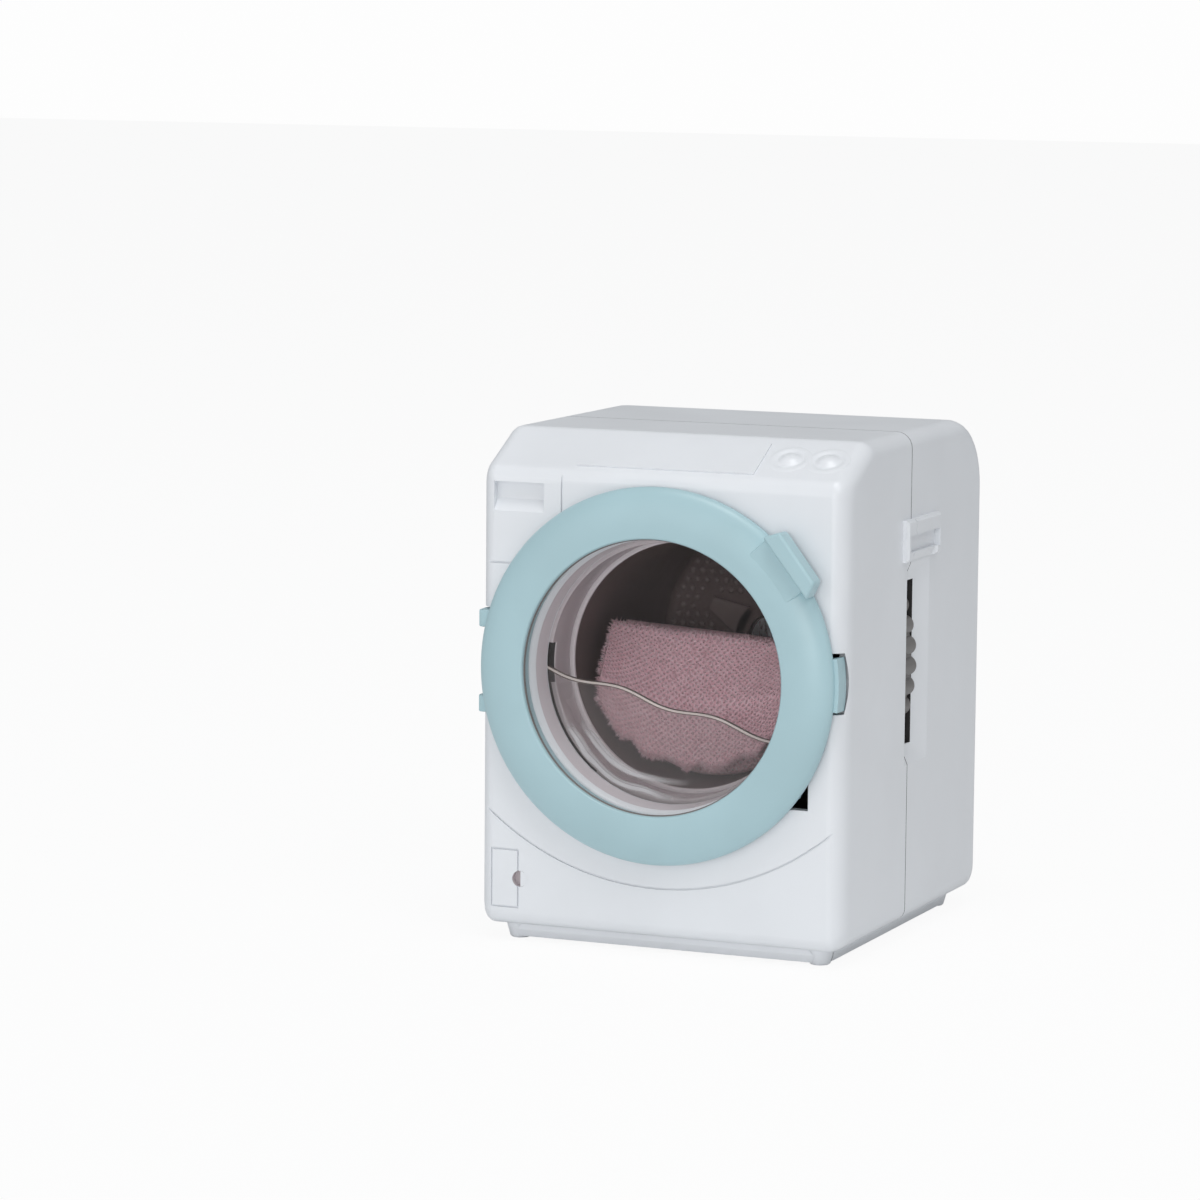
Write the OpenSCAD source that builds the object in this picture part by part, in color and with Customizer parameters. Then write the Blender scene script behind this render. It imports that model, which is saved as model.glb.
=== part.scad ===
// Toy front-loading washing machine, doll's-house size. Millimetres, +Z up.
// The origin is on the floor under the middle of the whole toy. The front faces -Y.

/* [Casing] */
// Width of the casing
body_w = 50; // [48:0.5:52]
// Depth of the casing, front face to back
body_d = 52; // [50:0.5:60]
// Height of the top above the floor
body_h = 66; // [65:0.5:72]
// Height of the underside of the casing above the floor
body_lift = 2.2; // [2:0.1:3]
// Wall thickness of the two casing halves
wall = 1.6; // [1.4:0.1:1.8]
// Distance of the seam between the halves from the front face
seam_depth = 24; // [22:0.5:25]
// How far below the top the control slope starts
slope_drop = 4.85; // [4:0.05:5.5]
// How far back the control slope runs
slope_run = 9.2; // [8:0.1:11]
// Rounding of the back edge of the top
back_round = 9.5; // [8:0.5:12]
// Rounding of the side edges of the top
side_round = 2.1; // [1.5:0.1:2.6]
// How far back the front corners round off
corner_depth = 3.2; // [2.6:0.1:3.6]
// How far in from the sides the front corners round off
corner_width = 2.2; // [1.8:0.1:2.4]

/* [Door] */
// Distance of the drum's axis below the top
axis_drop = 30; // [29.5:0.25:31]
// Gap between the ring's outline and the side planes of the casing
ring_margin = 0.9; // [0.6:0.1:1.5]
// Width of the ring, from its clear opening to its outline
ring_width = 6.5; // [6.1:0.1:7.3]
// How far the ring's inner lip stands in front of the casing
ring_proud = 3; // [2.6:0.1:3.6]
// Thickness of the door pane
pane_t = 1; // [0.8:0.1:1.2]
// Length of the door handle
handle_len = 8.7; // [8:0.1:11]
// How far the handle sits up the ring from its direction line
handle_shift = 0.65; // [0:0.05:1.5]
// Width of the door handle
handle_w = 2.6; // [2.2:0.1:3]
// How far the handle stands in front of the casing
handle_proud = 4; // [3.6:0.1:5]
// Direction of the handle from the centre of the ring, in degrees
handle_angle = 39; // [34:1:44]
// Distance of the hinge line in from the left side plane
hinge_inset = 1.8; // [1.7:0.05:2]
// Distance of the hinge line behind the front face
hinge_depth = 1.4; // [1.3:0.05:1.5]
// Radius of the door's hinge knuckles
knuckle_r = 1.7; // [1.6:0.05:1.75]
// Height of each hinge knuckle
knuckle_h = 2.2; // [2:0.1:3]
// Half the distance between the knuckles
knuckle_spread = 5.5; // [5:0.1:7]
// Radius of the hinge pins
pin_r = 0.5; // [0.4:0.05:0.6]

/* [Water plate] */
// Thickness of the clear water plate
plate_t = 1; // [0.8:0.1:1.2]
// Drop of the water line below the drum's axis
water_drop = 4.2; // [3:0.1:6]
// Height of the waves in the water line, middle to crest
wave_h = 0.42; // [0.3:0.02:0.6]
// Length of one wave
wave_len = 13.4; // [9:0.1:16]
// How far the plate leans at rest, clockwise seen from the front, in degrees
plate_lean = 13.1; // [8:0.1:16]
// Angle of the ends of the plate's slot above level, in degrees
slot_end = 9.5; // [8:0.5:14]

/* [Drum] */
// How much smaller in radius the drum is than the collar in front of it
drum_step = 0.5; // [0.3:0.1:1.5]
// Distance of the drum's inner back wall in front of the back of the casing
drum_back = 11.6; // [9.5:0.1:14]
// Wall thickness of the drum at its mouth
drum_wall = 1.2; // [1:0.1:1.4]
// Draft: how much narrower the drum is at its back
drum_draft = 0.6; // [0.3:0.1:1]
// Thickness of the drum's back wall
drum_floor = 1.4; // [1.2:0.1:2]
// Thickness of the thumb wheel
wheel_t = 4.1; // [3.4:0.1:4.5]
// Number of scallops round the thumb wheel
scallops = 56; // [48:1:60]
// Radius of the shank that the drum turns on
axle_r = 1.5; // [1.3:0.1:1.8]

/* [Laundry] */
// How much narrower the folded towel is than the drum
towel_room = 5.2; // [4.6:0.2:10]
// Height of the towel's upper edge above the drum's axis
towel_rise = 3.5; // [1:0.1:6]
// Depth of the folded towel, front to back
towel_d = 12; // [9:0.5:14]

/* [Fits] */
// Clearance round a pin or shank that turns
running = 0.05; // [0.03:0.01:0.08]
// Gap between pieces that pass each other
gap = 0.15; // [0.12:0.01:0.2]

/* [Hidden] */
$fn = 96;
eps = 0.01;

// Planes of the casing. The frame's origin lies midway between the handle and the back.
half_w = body_w / 2;
axis_z = body_h - axis_drop;
slope_foot = body_h - slope_drop;
front_y = (handle_proud - body_d) / 2;
back_y = front_y + body_d;
seam_y = front_y + seam_depth;
slope_angle = atan2(body_h - slope_foot, slope_run);

// Roundings that the casing's outline shares
crease_r = 2.5;
bottom_r = 1.8;
back_edge_r = 1;
least_r = 0.3;
seam_gap = 0.16;

// Rings round the mouth, from the outline of the door inwards
ring_r = half_w - ring_margin;
pane_r = ring_r - ring_width;

// Door mouth and the slot of the water plate, as depths behind the front face
mouth_flare = 0.7;
mouth_bevel = 0.6;
mouth_r = pane_r - 0.6;
mouth_front_r = pane_r - 0.3;
mouth_wall = 2;
mouth_end = 3.8;
slot_w = plate_t + 2 * gap;
collar_front = mouth_end + slot_w;
collar_len = 4.8;
collar_end = collar_front + collar_len;
collar_r = mouth_r - 0.5;
collar_wall = 1.25;
collar_out = collar_r + collar_wall;
block_out = mouth_r + mouth_wall + 0.6;
ear_r = 2.2;
ear_at = block_out + 1;
ear_angles = [50, 130];
ear_t = 2.7;
small_screw_r = 0.7;
small_head_rim = 0.7;
small_head_r = small_screw_r + small_head_rim;
small_head_h = 0.9;
small_slot = [1.8, 0.3, 0.4];
small_clear = 0.1;

// Water plate with the skirt that runs round the collar
skirt_in = collar_out + 0.1;
skirt_t = 0.85;
skirt_out = skirt_in + skirt_t;
plate_corner_r = mouth_r + 0.2;
plate_swing = 23;
skirt_trim = 4;
wave_points = 60;

// Drum, wheel and axle, as depths behind the front face
drum_mouth = collar_end + 0.2;
drum_r = collar_r - drum_step;
drum_out = drum_r + drum_wall;
floor_at = body_d - drum_back;
drum_depth = floor_at - drum_mouth;
hub_end = floor_at + drum_floor + 3.6;
hub_r = axle_r + 2.1;
wheel_side_gap = 0.1;
wheel_r = half_w - wheel_side_gap;
wheel_lead = 0.9;
wheel_front = seam_depth - wheel_lead;
wheel_back = wheel_front + wheel_t;
scallop_r = 1.3;
scallop_h = 0.75;
wheel_rim = 2.2;
wheel_hub = 1.6;
web_t = 1.4;
shoulder_h = 1;
drag_w = 1.2;
drag_at = drum_mouth + 0.5;
skirt_end = drag_at + drag_w + 0.3;
star_h = 1.2;
star_r = 5;
star_tip = 9.7;
star_arms = 4;
screw_head_h = 1.1;
axle_head_r = axle_r + 1.1;
washer_t = 0.4;
washer_rim = 1.4;
washer_r = axle_r + washer_rim;
star_well = washer_r + 0.3;
post_r = axle_r + 1.7;
thread_r = axle_r - 0.5;
post_face = hub_end + gap;
rear_inner = body_d - wall;

// Slots and thumb scoops in the sides
slot_clear = 0.35;
slot_front = wheel_front - slot_clear;
slot_back = wheel_back + slot_clear;
slot_half = 10.7;
scoop_deep = 0.95;
scoop_back = slot_back + 3.8;
scoop_rise = 2.4;

// Raised frames on the sides, above the slots
grip_proud = 0.85;
grip_front = seam_depth - 3.1;
grip_back = seam_depth + 9.65;
grip_foot = slot_half + scoop_rise + 0.4;
grip_h = 5.4;
grip_bars = [0.9, 0.6, 1.15, 2];
grip_bevel = 0.35;

// Hinge and latch
hinge_x = hinge_inset - half_w;
hinge_y = front_y + hinge_depth;
hinge_z = axis_z + 0.5;
notch_r = knuckle_r + 0.6;
notch_gap = 0.3;
pin_reach = 3;
pin_bite = 1.2;
block_reach = 1.2;
swing_room = 2.6;
latch_r = ring_r + 0.55;
latch_h = 6.8;
latch_depth = 1.6;
pocket_r = latch_r + 0.2;
pocket_h = 7.75;
pocket_z = 0.4;
hook_hole = [3.5, 4.4];
hook_past = 1.7;
hook_angle = -37.76;
hook_corner = (ring_r + hook_past) * [cos(hook_angle), sin(hook_angle)];
hook_size = [1.8, 2.6];
hook_len = 1.4;

// Screws
case_r = 1;
case_head_r = 2;
case_head_h = 1.2;
case_bite = 6;
case_run = 6;
boss_r = case_head_r + 0.9;
boss_in = 5.6;
boss_up = 6.3;
boss_x = half_w - boss_in;
boss_rise = sqrt(pow(wheel_r + boss_r + 0.35, 2) - pow(boss_x, 2));

// Plinth and feet
plinth_inset = 2.6;
skirt_lift = 0.35;
plinth_wall = 1.2;
plinth_top = 0.9;
plinth_bevel = 0.35;
foot_r = 1.9;
foot_tip_r = 1.3;
foot_in = 1.7;
base_screw_in = 12;
base_boss_r = 2.2;
base_boss_h = 4.2;
base_head_r = 1.8;

// Moulded lines on the front
groove = 0.25;
groove_deep = 0.3;

// ---- helpers ------------------------------------------------------------------

// Points of the arc that rounds corner p between its neighbours a and b
function corner_arc(p, a, b, r, n) =
    let (
        u = (a - p) / norm(a - p),
        v = (b - p) / norm(b - p),
        half = acos(u * v) / 2,
        c = p + (u + v) / norm(u + v) * r / sin(half),
        s = p + u * r / tan(half) - c,
        e = p + v * r / tan(half) - c,
        from = atan2(s[1], s[0]),
        turn = (atan2(e[1], e[0]) - from + 540) % 360 - 180
    )
    [for (i = [0:n]) c + r * [cos(from + turn * i / n), sin(from + turn * i / n)]];

// Outline through the corner points, each rounded by its own radius
function rounded(points, radii, steps) =
    let (last = len(points) - 1)
    [for (i = [0:last])
        each corner_arc(points[i], points[i == 0 ? last : i - 1],
                        points[i == last ? 0 : i + 1], radii[i], steps[i])];

// How far an edge rounding falls away at distance e from the side plane
function fall(e, across, deep) =
    e >= across ? 0 : deep * (1 - sqrt(1 - pow(1 - e / across, 2)));

// Side outline of the casing, inset by a wall, at distance e in from its side plane
function side_outline(e, inset) =
    let (
        across = max(corner_width - inset, least_r),
        f = front_y + inset + fall(e, across, max(corner_depth - inset, least_r)),
        drop = inset + fall(e, max(side_round - inset, least_r), max(side_round - inset, least_r)),
        low = body_lift + inset + fall(e, across, max(bottom_r - inset, least_r)),
        rear = back_y - inset - fall(e, back_edge_r, max(back_edge_r - inset, least_r)),
        top = body_h - drop,
        foot = slope_foot + (f - front_y) * tan(slope_angle) - drop / cos(slope_angle),
        brow = f + (top - foot) / tan(slope_angle)
    )
    rounded([[f, low], [f, foot], [brow, top], [rear, top], [rear, low]],
            [max(bottom_r - inset, least_r), max(crease_r - inset, least_r),
             max(crease_r - inset, least_r), max(back_round - drop, least_r),
             max(bottom_r - inset, least_r)],
            [4, 5, 4, 10, 4]);

// The casing as one rounded solid, or its inside when inset by the wall
module casing_solid(inset) {
    across = max(corner_width - inset, least_r);
    hull()
        for (side = [-1, 1], t = [0:15:90]) {
            e = across * (1 - cos(t));
            translate([side * (half_w - inset - e), 0, 0])
                rotate([90, 0, 90])
                    linear_extrude(height = eps, center = true)
                        polygon(side_outline(e, inset));
        }
}

// Everything between two depths behind the front face
module between(from, to) {
    translate([-body_w, front_y + from, -body_h])
        cube([2 * body_w, to - from, 3 * body_h]);
}

// Local frame of the door: x across, y up from the axis, z out of the front face
module at_door() {
    translate([0, front_y, axis_z])
        rotate([90, 0, 0])
            children();
}

// Cylinder on the drum's axis between two depths
module plug(r, from, to) {
    translate([0, 0, -to])
        cylinder(r = r, h = to - from);
}

// Tube on the drum's axis between two depths
module tube(outer, inner, from, to) {
    difference() {
        plug(outer, from, to);
        plug(inner, from - 1, to + 1);
    }
}

// Flat sector between two angles, wide enough to cut any ring here
module sector(from, to) {
    reach = 2 * body_w;
    middle = (from + to) / 2;
    polygon([[0, 0],
             reach * [cos(from), sin(from)],
             reach * [cos((from + middle) / 2), sin((from + middle) / 2)],
             reach * [cos(middle), sin(middle)],
             reach * [cos((to + middle) / 2), sin((to + middle) / 2)],
             reach * [cos(to), sin(to)]]);
}

// Sector between two angles and two depths
module wedge(angle_from, angle_to, from, to) {
    translate([0, 0, -to])
        linear_extrude(height = to - from)
            sector(angle_from, angle_to);
}

// Both of the casing's sides, the right one as drawn
module both_sides() {
    for (side = [0, 1])
        mirror([side, 0, 0])
            children();
}

// The four places of the case screws, in the door's frame
module at_case_screws() {
    for (x = [-boss_x, boss_x])
        for (y = [body_lift + boss_up - axis_z, boss_rise])
            translate([x, y, 0])
                children();
}

// The places of the collar screws, in the door's frame
module at_collar_screws() {
    for (a = ear_angles)
        translate([ear_at * cos(a), ear_at * sin(a), 0])
            children();
}

// The two places of the base screws
module at_base_screws() {
    for (y = [front_y + base_screw_in, back_y - base_screw_in])
        translate([0, y, 0])
            children();
}

// The four places of the feet
module at_feet() {
    inset = plinth_inset + foot_in;
    for (x = [inset - half_w, half_w - inset])
        for (y = [front_y + inset, back_y - inset])
            translate([x, y, 0])
                children();
}

// ---- cuts that both halves of the casing share ---------------------------------

// Slot for the thumb wheel and the scoop that lets a thumb reach it
module wheel_slot() {
    deep_x = half_w - scoop_deep;
    translate([half_w - 3 * wall, front_y + slot_front, axis_z - slot_half])
        cube([4 * wall, slot_back - slot_front, 2 * slot_half]);
    intersection() {
        translate([0, front_y, axis_z - body_h])
            linear_extrude(height = 2 * body_h)
                polygon([[deep_x, slot_front], [deep_x, slot_back],
                         [half_w, scoop_back], [half_w + 1, scoop_back + 1],
                         [half_w + 1, slot_front]]);
        rotate([90, 0, 0])
            linear_extrude(height = 4 * body_d, center = true)
                polygon([[deep_x, axis_z - slot_half], [half_w, axis_z - slot_half - scoop_rise],
                         [half_w + 1, axis_z - slot_half - 2 * scoop_rise],
                         [half_w + 1, axis_z + slot_half + 2 * scoop_rise],
                         [half_w, axis_z + slot_half + scoop_rise],
                         [deep_x, axis_z + slot_half]]);
    }
}

// Raised frame above the slot, with its shallow window
module grip_frame() {
    low = axis_z + grip_foot;
    high = low + grip_h;
    out = half_w + grip_proud;
    root = half_w - wall / 2;
    difference() {
        intersection() {
            translate([0, front_y, 0])
                linear_extrude(height = 2 * body_h)
                    polygon([[root, grip_front], [out - grip_bevel, grip_front],
                             [out, grip_front + grip_bevel], [out, grip_back - grip_bevel],
                             [out - grip_bevel, grip_back], [root, grip_back]]);
            rotate([90, 0, 0])
                linear_extrude(height = 4 * body_d, center = true)
                    polygon([[root, low], [out - grip_bevel, low], [out, low + grip_bevel],
                             [out, high - grip_bevel], [out - grip_bevel, high], [root, high]]);
        }
        translate([half_w, front_y + grip_front + grip_bars[0], low + grip_bars[2]])
            cube([2 * grip_proud, grip_back - grip_front - grip_bars[0] - grip_bars[1],
                  grip_h - grip_bars[2] - grip_bars[3]]);
    }
}

// Bosses on the casing's floor for the base screws, between two depths
module base_bosses(from, to) {
    intersection() {
        at_base_screws()
            translate([0, 0, body_lift])
                cylinder(r = base_boss_r, h = wall + base_boss_h - 0.8);
        between(from, to);
    }
}

// ---- front half of the casing --------------------------------------------------

// Hinge notches cut in the left front corner, for one knuckle centred on z
module hinge_notch(z) {
    half = knuckle_h / 2 + notch_gap;
    translate([hinge_x, hinge_y, z - half])
        cylinder(r = notch_r, h = 2 * half);
    translate([-half_w - 1, front_y - 1, z - half])
        cube([half_w + 1 + hinge_x, 1 + hinge_depth + swing_room, 2 * half]);
}

// Blind holes that the hinge pins turn in, open towards the knuckles
module pin_holes() {
    face = knuckle_spread + knuckle_h / 2;
    deep = notch_gap + pin_reach;
    for (up = [-1, 1])
        translate([hinge_x, hinge_y, hinge_z + up * (face + deep / 2) - deep / 2])
            cylinder(r = pin_r + running, h = deep);
}

// Blocks in the left front corner that the hinge pins turn in
module hinge_blocks() {
    half = knuckle_h / 2 + notch_gap;
    for (up = [-1, 1])
        translate([-half_w + 0.8, front_y + 1,
                   hinge_z + up * (knuckle_spread + half + (pin_reach + block_reach) / 2)
                   - (pin_reach + block_reach) / 2])
            cube([3.6, 3.6, pin_reach + block_reach]);
}

// Raised display plate and two moulded buttons on the control slope
module on_slope() {
    translate([0, front_y, slope_foot])
        rotate([slope_angle, 0, 0])
            children();
}

display_size = [24, 7];
display_at = 1.7;
display_proud = 0.2;
button_in = [9.5, 4.4];
button_x = [half_w - button_in[0], half_w - button_in[1]];
button_at = 5.6;
button_r = 2.2;
button_dome_r = 1.35;
button_deep = 0.35;

module slope_raised() {
    on_slope()
        translate([-display_size[0] / 2, display_at, -wall / 2])
            cube([display_size[0], display_size[1], wall / 2 + display_proud]);
}

module button_moats() {
    for (x = button_x)
        on_slope()
            translate([x, button_at, -button_deep])
                difference() {
                    cylinder(r = button_r, h = 1);
                    translate([0, 0, -1])
                        cylinder(r = button_dome_r, h = 3);
                }
}

// Sizes of the drawer front and the service flap
drawer_w = 11.5;
drawer_right = drawer_w - half_w;
drawer_foot = 13.25;
pull_in = [2.1, 9.05];
pull_x = [pull_in[0] - half_w, pull_in[1] - half_w];
pull_z = [19.9, 23.65];
pull_ledge = 1.5;
pull_deep = 1.1;
flap_in = [2.05, 5.75];
flap_x = [flap_in[0] - half_w, flap_in[1] - half_w];
flap_z = [2.45, 9.95];
flap_notch_r = 1.05;
kick_r = 36.2;
kick_foot = 6.5;
kick_side = 1;
kick_reach = half_w - kick_side;

// Half section of the hole in the front: distance from the axis, distance in front
mouth_section = [[0, 1], [mouth_front_r + mouth_flare, 1], [mouth_front_r + mouth_flare, 0],
                 [mouth_front_r, -mouth_bevel], [mouth_r, 0.4 - mouth_end],
                 [mouth_r, -mouth_end - 1], [0, -mouth_end - 1]];

module drawer_lines() {
    translate([drawer_right - groove / 2, front_y - 1, axis_z + drawer_foot])
        cube([groove, 1 + groove_deep, slope_foot - axis_z - drawer_foot + 0.1]);
    translate([-half_w - 1, front_y - 1, axis_z + drawer_foot - groove / 2])
        cube([half_w + 1 + drawer_right, 1 + groove_deep, groove]);
    translate([0, front_y, axis_z])
        rotate([90, 0, 90])
            translate([0, 0, pull_x[0]])
                linear_extrude(height = pull_x[1] - pull_x[0])
                    polygon([[-1, pull_z[0] - pull_ledge], [0, pull_z[0]],
                             [pull_deep, pull_z[0] + pull_ledge], [pull_deep, pull_z[1]],
                             [-1, pull_z[1]]]);
}

module flap_lines() {
    difference() {
        translate([flap_x[0] - groove / 2, front_y - 1, body_lift + flap_z[0] - groove / 2])
            cube([flap_x[1] - flap_x[0] + groove, 1 + groove_deep, flap_z[1] - flap_z[0] + groove]);
        translate([flap_x[0] + groove / 2, front_y - 2, body_lift + flap_z[0] + groove / 2])
            cube([flap_x[1] - flap_x[0] - groove, 4, flap_z[1] - flap_z[0] - groove]);
    }
    translate([flap_x[1] + groove, front_y + 0.9, body_lift + (flap_z[0] + flap_z[1]) / 2])
        rotate([90, 0, 0])
            cylinder(r = flap_notch_r, h = 2);
}

module kick_line() {
    intersection() {
        translate([0, front_y, body_lift + kick_foot + kick_r])
            rotate([90, 0, 0])
                tube(kick_r + groove / 2, kick_r - groove / 2, -1, groove_deep);
        translate([-kick_reach, front_y - 1, 0])
            cube([2 * kick_reach, 3, axis_z - kick_r / 2]);
    }
}

module front_shell() {
    color("#eef1f3")
        difference() {
            union() {
                intersection() {
                    difference() {
                        casing_solid(0);
                        casing_solid(wall);
                    }
                    between(-1, seam_depth - seam_gap);
                }
                intersection() {
                    both_sides()
                        grip_frame();
                    between(-1, seam_depth - seam_gap);
                }
                slope_raised();
                hinge_blocks();
                at_door()
                    tube(mouth_r + mouth_wall, mouth_r, wall / 2, mouth_end);
                intersection() {
                    casing_solid(wall / 2);
                    union() {
                        at_door() {
                            at_collar_screws()
                                plug(ear_r, 0, mouth_end);
                            at_case_screws()
                                plug(boss_r, 0, seam_depth - seam_gap / 2);
                        }
                        base_bosses(0, seam_depth);
                    }
                }
            }
            at_door() {
                rotate_extrude()
                    polygon(mouth_section);
                at_collar_screws()
                    plug(small_screw_r, wall, mouth_end + 1);
                at_case_screws()
                    plug(case_r, seam_depth - case_bite - 1, seam_depth + 1);
                intersection() {
                    translate([0, pocket_z, 0])
                        plug(pocket_r, -2, latch_depth + 1);
                    translate([ring_r - 3, pocket_z - pocket_h / 2, -2 * latch_depth])
                        cube([6, pocket_h, 3 * latch_depth + 2]);
                }
                translate([hook_corner[0] - hook_hole[0], hook_corner[1], -2 * wall])
                    cube([hook_hole[0], hook_hole[1], 3 * wall]);
            }
            both_sides()
                wheel_slot();
            for (up = [-1, 1])
                hinge_notch(hinge_z + up * knuckle_spread);
            pin_holes();
            at_base_screws()
                translate([0, 0, body_lift - 1])
                    cylinder(r = case_r, h = wall + base_boss_h);
            button_moats();
            drawer_lines();
            flap_lines();
            kick_line();
        }
}

// ---- back half of the casing ---------------------------------------------------

tongue_t = 0.8;
tongue_len = 2.2;
tongue_free = 13.5;
panel_size = [30, 22];
panel_up = 17;
panel_deep = 0.4;

// Stretches of the seam left without a tongue where the wheel passes
module tongue_break() {
    translate([-body_w, seam_y - 2 * tongue_len, axis_z - tongue_free])
        cube([2 * body_w, 4 * tongue_len, 2 * tongue_free]);
    translate([-tongue_free, seam_y - 2 * tongue_len, 0])
        cube([2 * tongue_free, 4 * tongue_len, axis_z]);
}

// Lip that reaches forward inside the front half's wall
module tongue() {
    difference() {
        intersection() {
            casing_solid(wall + running);
            between(seam_depth - tongue_len, seam_depth + tongue_len);
        }
        casing_solid(wall + running + tongue_t);
        tongue_break();
    }
}

// Thickening behind the seam that the lip grows from
module tongue_root() {
    difference() {
        between(seam_depth + seam_gap, seam_depth + tongue_len);
        casing_solid(wall + running + tongue_t);
        tongue_break();
    }
}

module rear_shell() {
    well = seam_depth + case_run;
    color("#eef1f3")
        difference() {
            union() {
                intersection() {
                    difference() {
                        casing_solid(0);
                        casing_solid(wall);
                    }
                    between(seam_depth, body_d + 1);
                }
                tongue();
                intersection() {
                    both_sides()
                        grip_frame();
                    between(seam_depth, body_d);
                }
                intersection() {
                    casing_solid(wall / 2);
                    union() {
                        tongue_root();
                        at_door() {
                            plug(post_r, post_face, body_d);
                            at_case_screws()
                                plug(boss_r, seam_depth, body_d);
                        }
                        base_bosses(seam_depth, body_d);
                    }
                }
            }
            at_door() {
                plug(thread_r, post_face - 1, body_d - wall);
                at_case_screws() {
                    plug(case_r + 0.2, seam_depth - 1, body_d + 1);
                    plug(case_head_r + 0.1, well, body_d + 1);
                }
            }
            both_sides()
                wheel_slot();
            at_base_screws()
                translate([0, 0, body_lift - 1])
                    cylinder(r = case_r, h = wall + base_boss_h);
            translate([-panel_size[0] / 2, back_y - panel_deep, panel_up])
                cube([panel_size[0], panel_deep + 1, panel_size[1]]);
        }
}

// ---- plinth ----------------------------------------------------------------------

module foot_cone(grow, over) {
    cylinder(r1 = foot_tip_r + grow, r2 = foot_r + grow, h = body_lift + over);
}

// Outline of the plinth between two planes, narrower towards the floor
module plinth_profile(from, to) {
    polygon([[from, body_lift], [from, body_lift - plinth_top],
             [from + plinth_bevel, skirt_lift], [to - plinth_bevel, skirt_lift],
             [to, body_lift - plinth_top], [to, body_lift]]);
}

module base_plate() {
    long = body_d - 2 * plinth_inset;
    wide = body_w - 2 * plinth_inset;
    color("#e9edef")
        difference() {
            intersection() {
                rotate([90, 0, 0])
                    linear_extrude(height = 2 * body_d, center = true)
                        plinth_profile(-wide / 2, wide / 2);
                rotate([90, 0, 90])
                    linear_extrude(height = 2 * body_w, center = true)
                        plinth_profile(front_y + plinth_inset, back_y - plinth_inset);
            }
            difference() {
                translate([-wide / 2 + plinth_wall, front_y + plinth_inset + plinth_wall, -1])
                    cube([wide - 2 * plinth_wall, long - 2 * plinth_wall,
                          1 + body_lift - plinth_top]);
                at_feet()
                    cylinder(r = foot_r + plinth_wall, h = body_lift);
            }
            at_feet()
                translate([0, 0, -eps])
                    foot_cone(running, 2 * eps);
            for (x = [-wide / 2, wide / 2])
                for (y = [front_y + plinth_inset, back_y - plinth_inset])
                    translate([x, y, 0])
                        cube([2 * foot_in, 2 * foot_in, 3 * body_lift], center = true);
            at_base_screws()
                cylinder(r = case_r + 0.1, h = 2 * body_lift);
        }
}

module feet() {
    color("#e9edef")
        at_feet() {
            foot_cone(0, 0);
        }
}

// ---- door ------------------------------------------------------------------------

dome_steps = 14;
lip_r = 0.4;
neck_rise = 0.75;
dome_start = 1;
dome_width = 4.9;
rebate_r = pane_r + 1.1;
rebate_at = ring_proud - 0.9;
back_chamfer = [1.4, 0.75];

// Half section of the ring: distance from the axis, distance in front of the casing
function ring_section() = concat(
    [[rebate_r, gap], [ring_r - back_chamfer[0], gap], [ring_r, gap + back_chamfer[1]]],
    [for (i = [0:dome_steps])
        [ring_r - dome_width + dome_width * cos(90 * i / dome_steps),
         dome_start + (ring_proud - dome_start) * sin(90 * i / dome_steps)]],
    [for (i = [0:4])
        [pane_r + lip_r - lip_r * sin(90 * i / 4), ring_proud - lip_r + lip_r * cos(90 * i / 4)]],
    [[pane_r, rebate_at], [rebate_r, rebate_at]]);

// Handle: a flat tongue on the ring and a bar across its end, in the ring's plane
handle_root = 4;
tongue_back = 0.6;
tongue_front = 0.15;
bar_back = 1.2;
bar_bevel = 0.35;
bar_corner = [1.3, 0.6];

// Plan of the bar: distance from the axis, place along the bar
function bar_plan(shrink) =
    let (
        near = ring_r - 0.1 + shrink,
        far = ring_r - 0.1 + handle_w - shrink,
        low = handle_shift - handle_len / 2 + shrink,
        high = handle_shift + handle_len / 2 - shrink
    )
    rounded([[near, low], [far, low + bar_corner[0]], [far, high - bar_corner[1]], [near, high]],
            [0.3, 0.5, 0.4, 0.3], [2, 4, 4, 2]);

// Plan of the tongue under the bar
function tongue_plan() =
    let (
        from = ring_r - handle_root,
        near = ring_r + 0.6,
        far = ring_r + handle_w - 0.5,
        low = handle_shift - handle_len / 2 + 0.4,
        high = handle_shift + handle_len / 2 - 0.4
    )
    [[from, low], [near, low], [far, low + bar_corner[0]], [far, high - bar_corner[1]],
     [near, high], [from, high]];

module handle_bar() {
    rotate([0, 0, handle_angle]) {
        translate([0, 0, tongue_back])
            linear_extrude(height = ring_proud - tongue_front - tongue_back)
                polygon(tongue_plan());
        hull() {
            translate([0, 0, bar_back])
                linear_extrude(height = handle_proud - bar_bevel - bar_back)
                    polygon(bar_plan(0));
            translate([0, 0, handle_proud - eps])
                linear_extrude(height = eps)
                    polygon(bar_plan(bar_bevel));
        }
    }
}

module knuckle(z) {
    left = -knuckle_r + 0.15;
    front = -hinge_depth - gap - neck_rise;
    translate([hinge_x, hinge_y, z - knuckle_h / 2])
        linear_extrude(height = knuckle_h)
            union() {
                circle(r = knuckle_r, $fn = 48);
                polygon(rounded([[left, front], [knuckle_r, front], [knuckle_r, 0], [left, 0]],
                                [0.6, 0.1, 0.1, 0.1], [6, 1, 1, 1]));
            }
}

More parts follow.
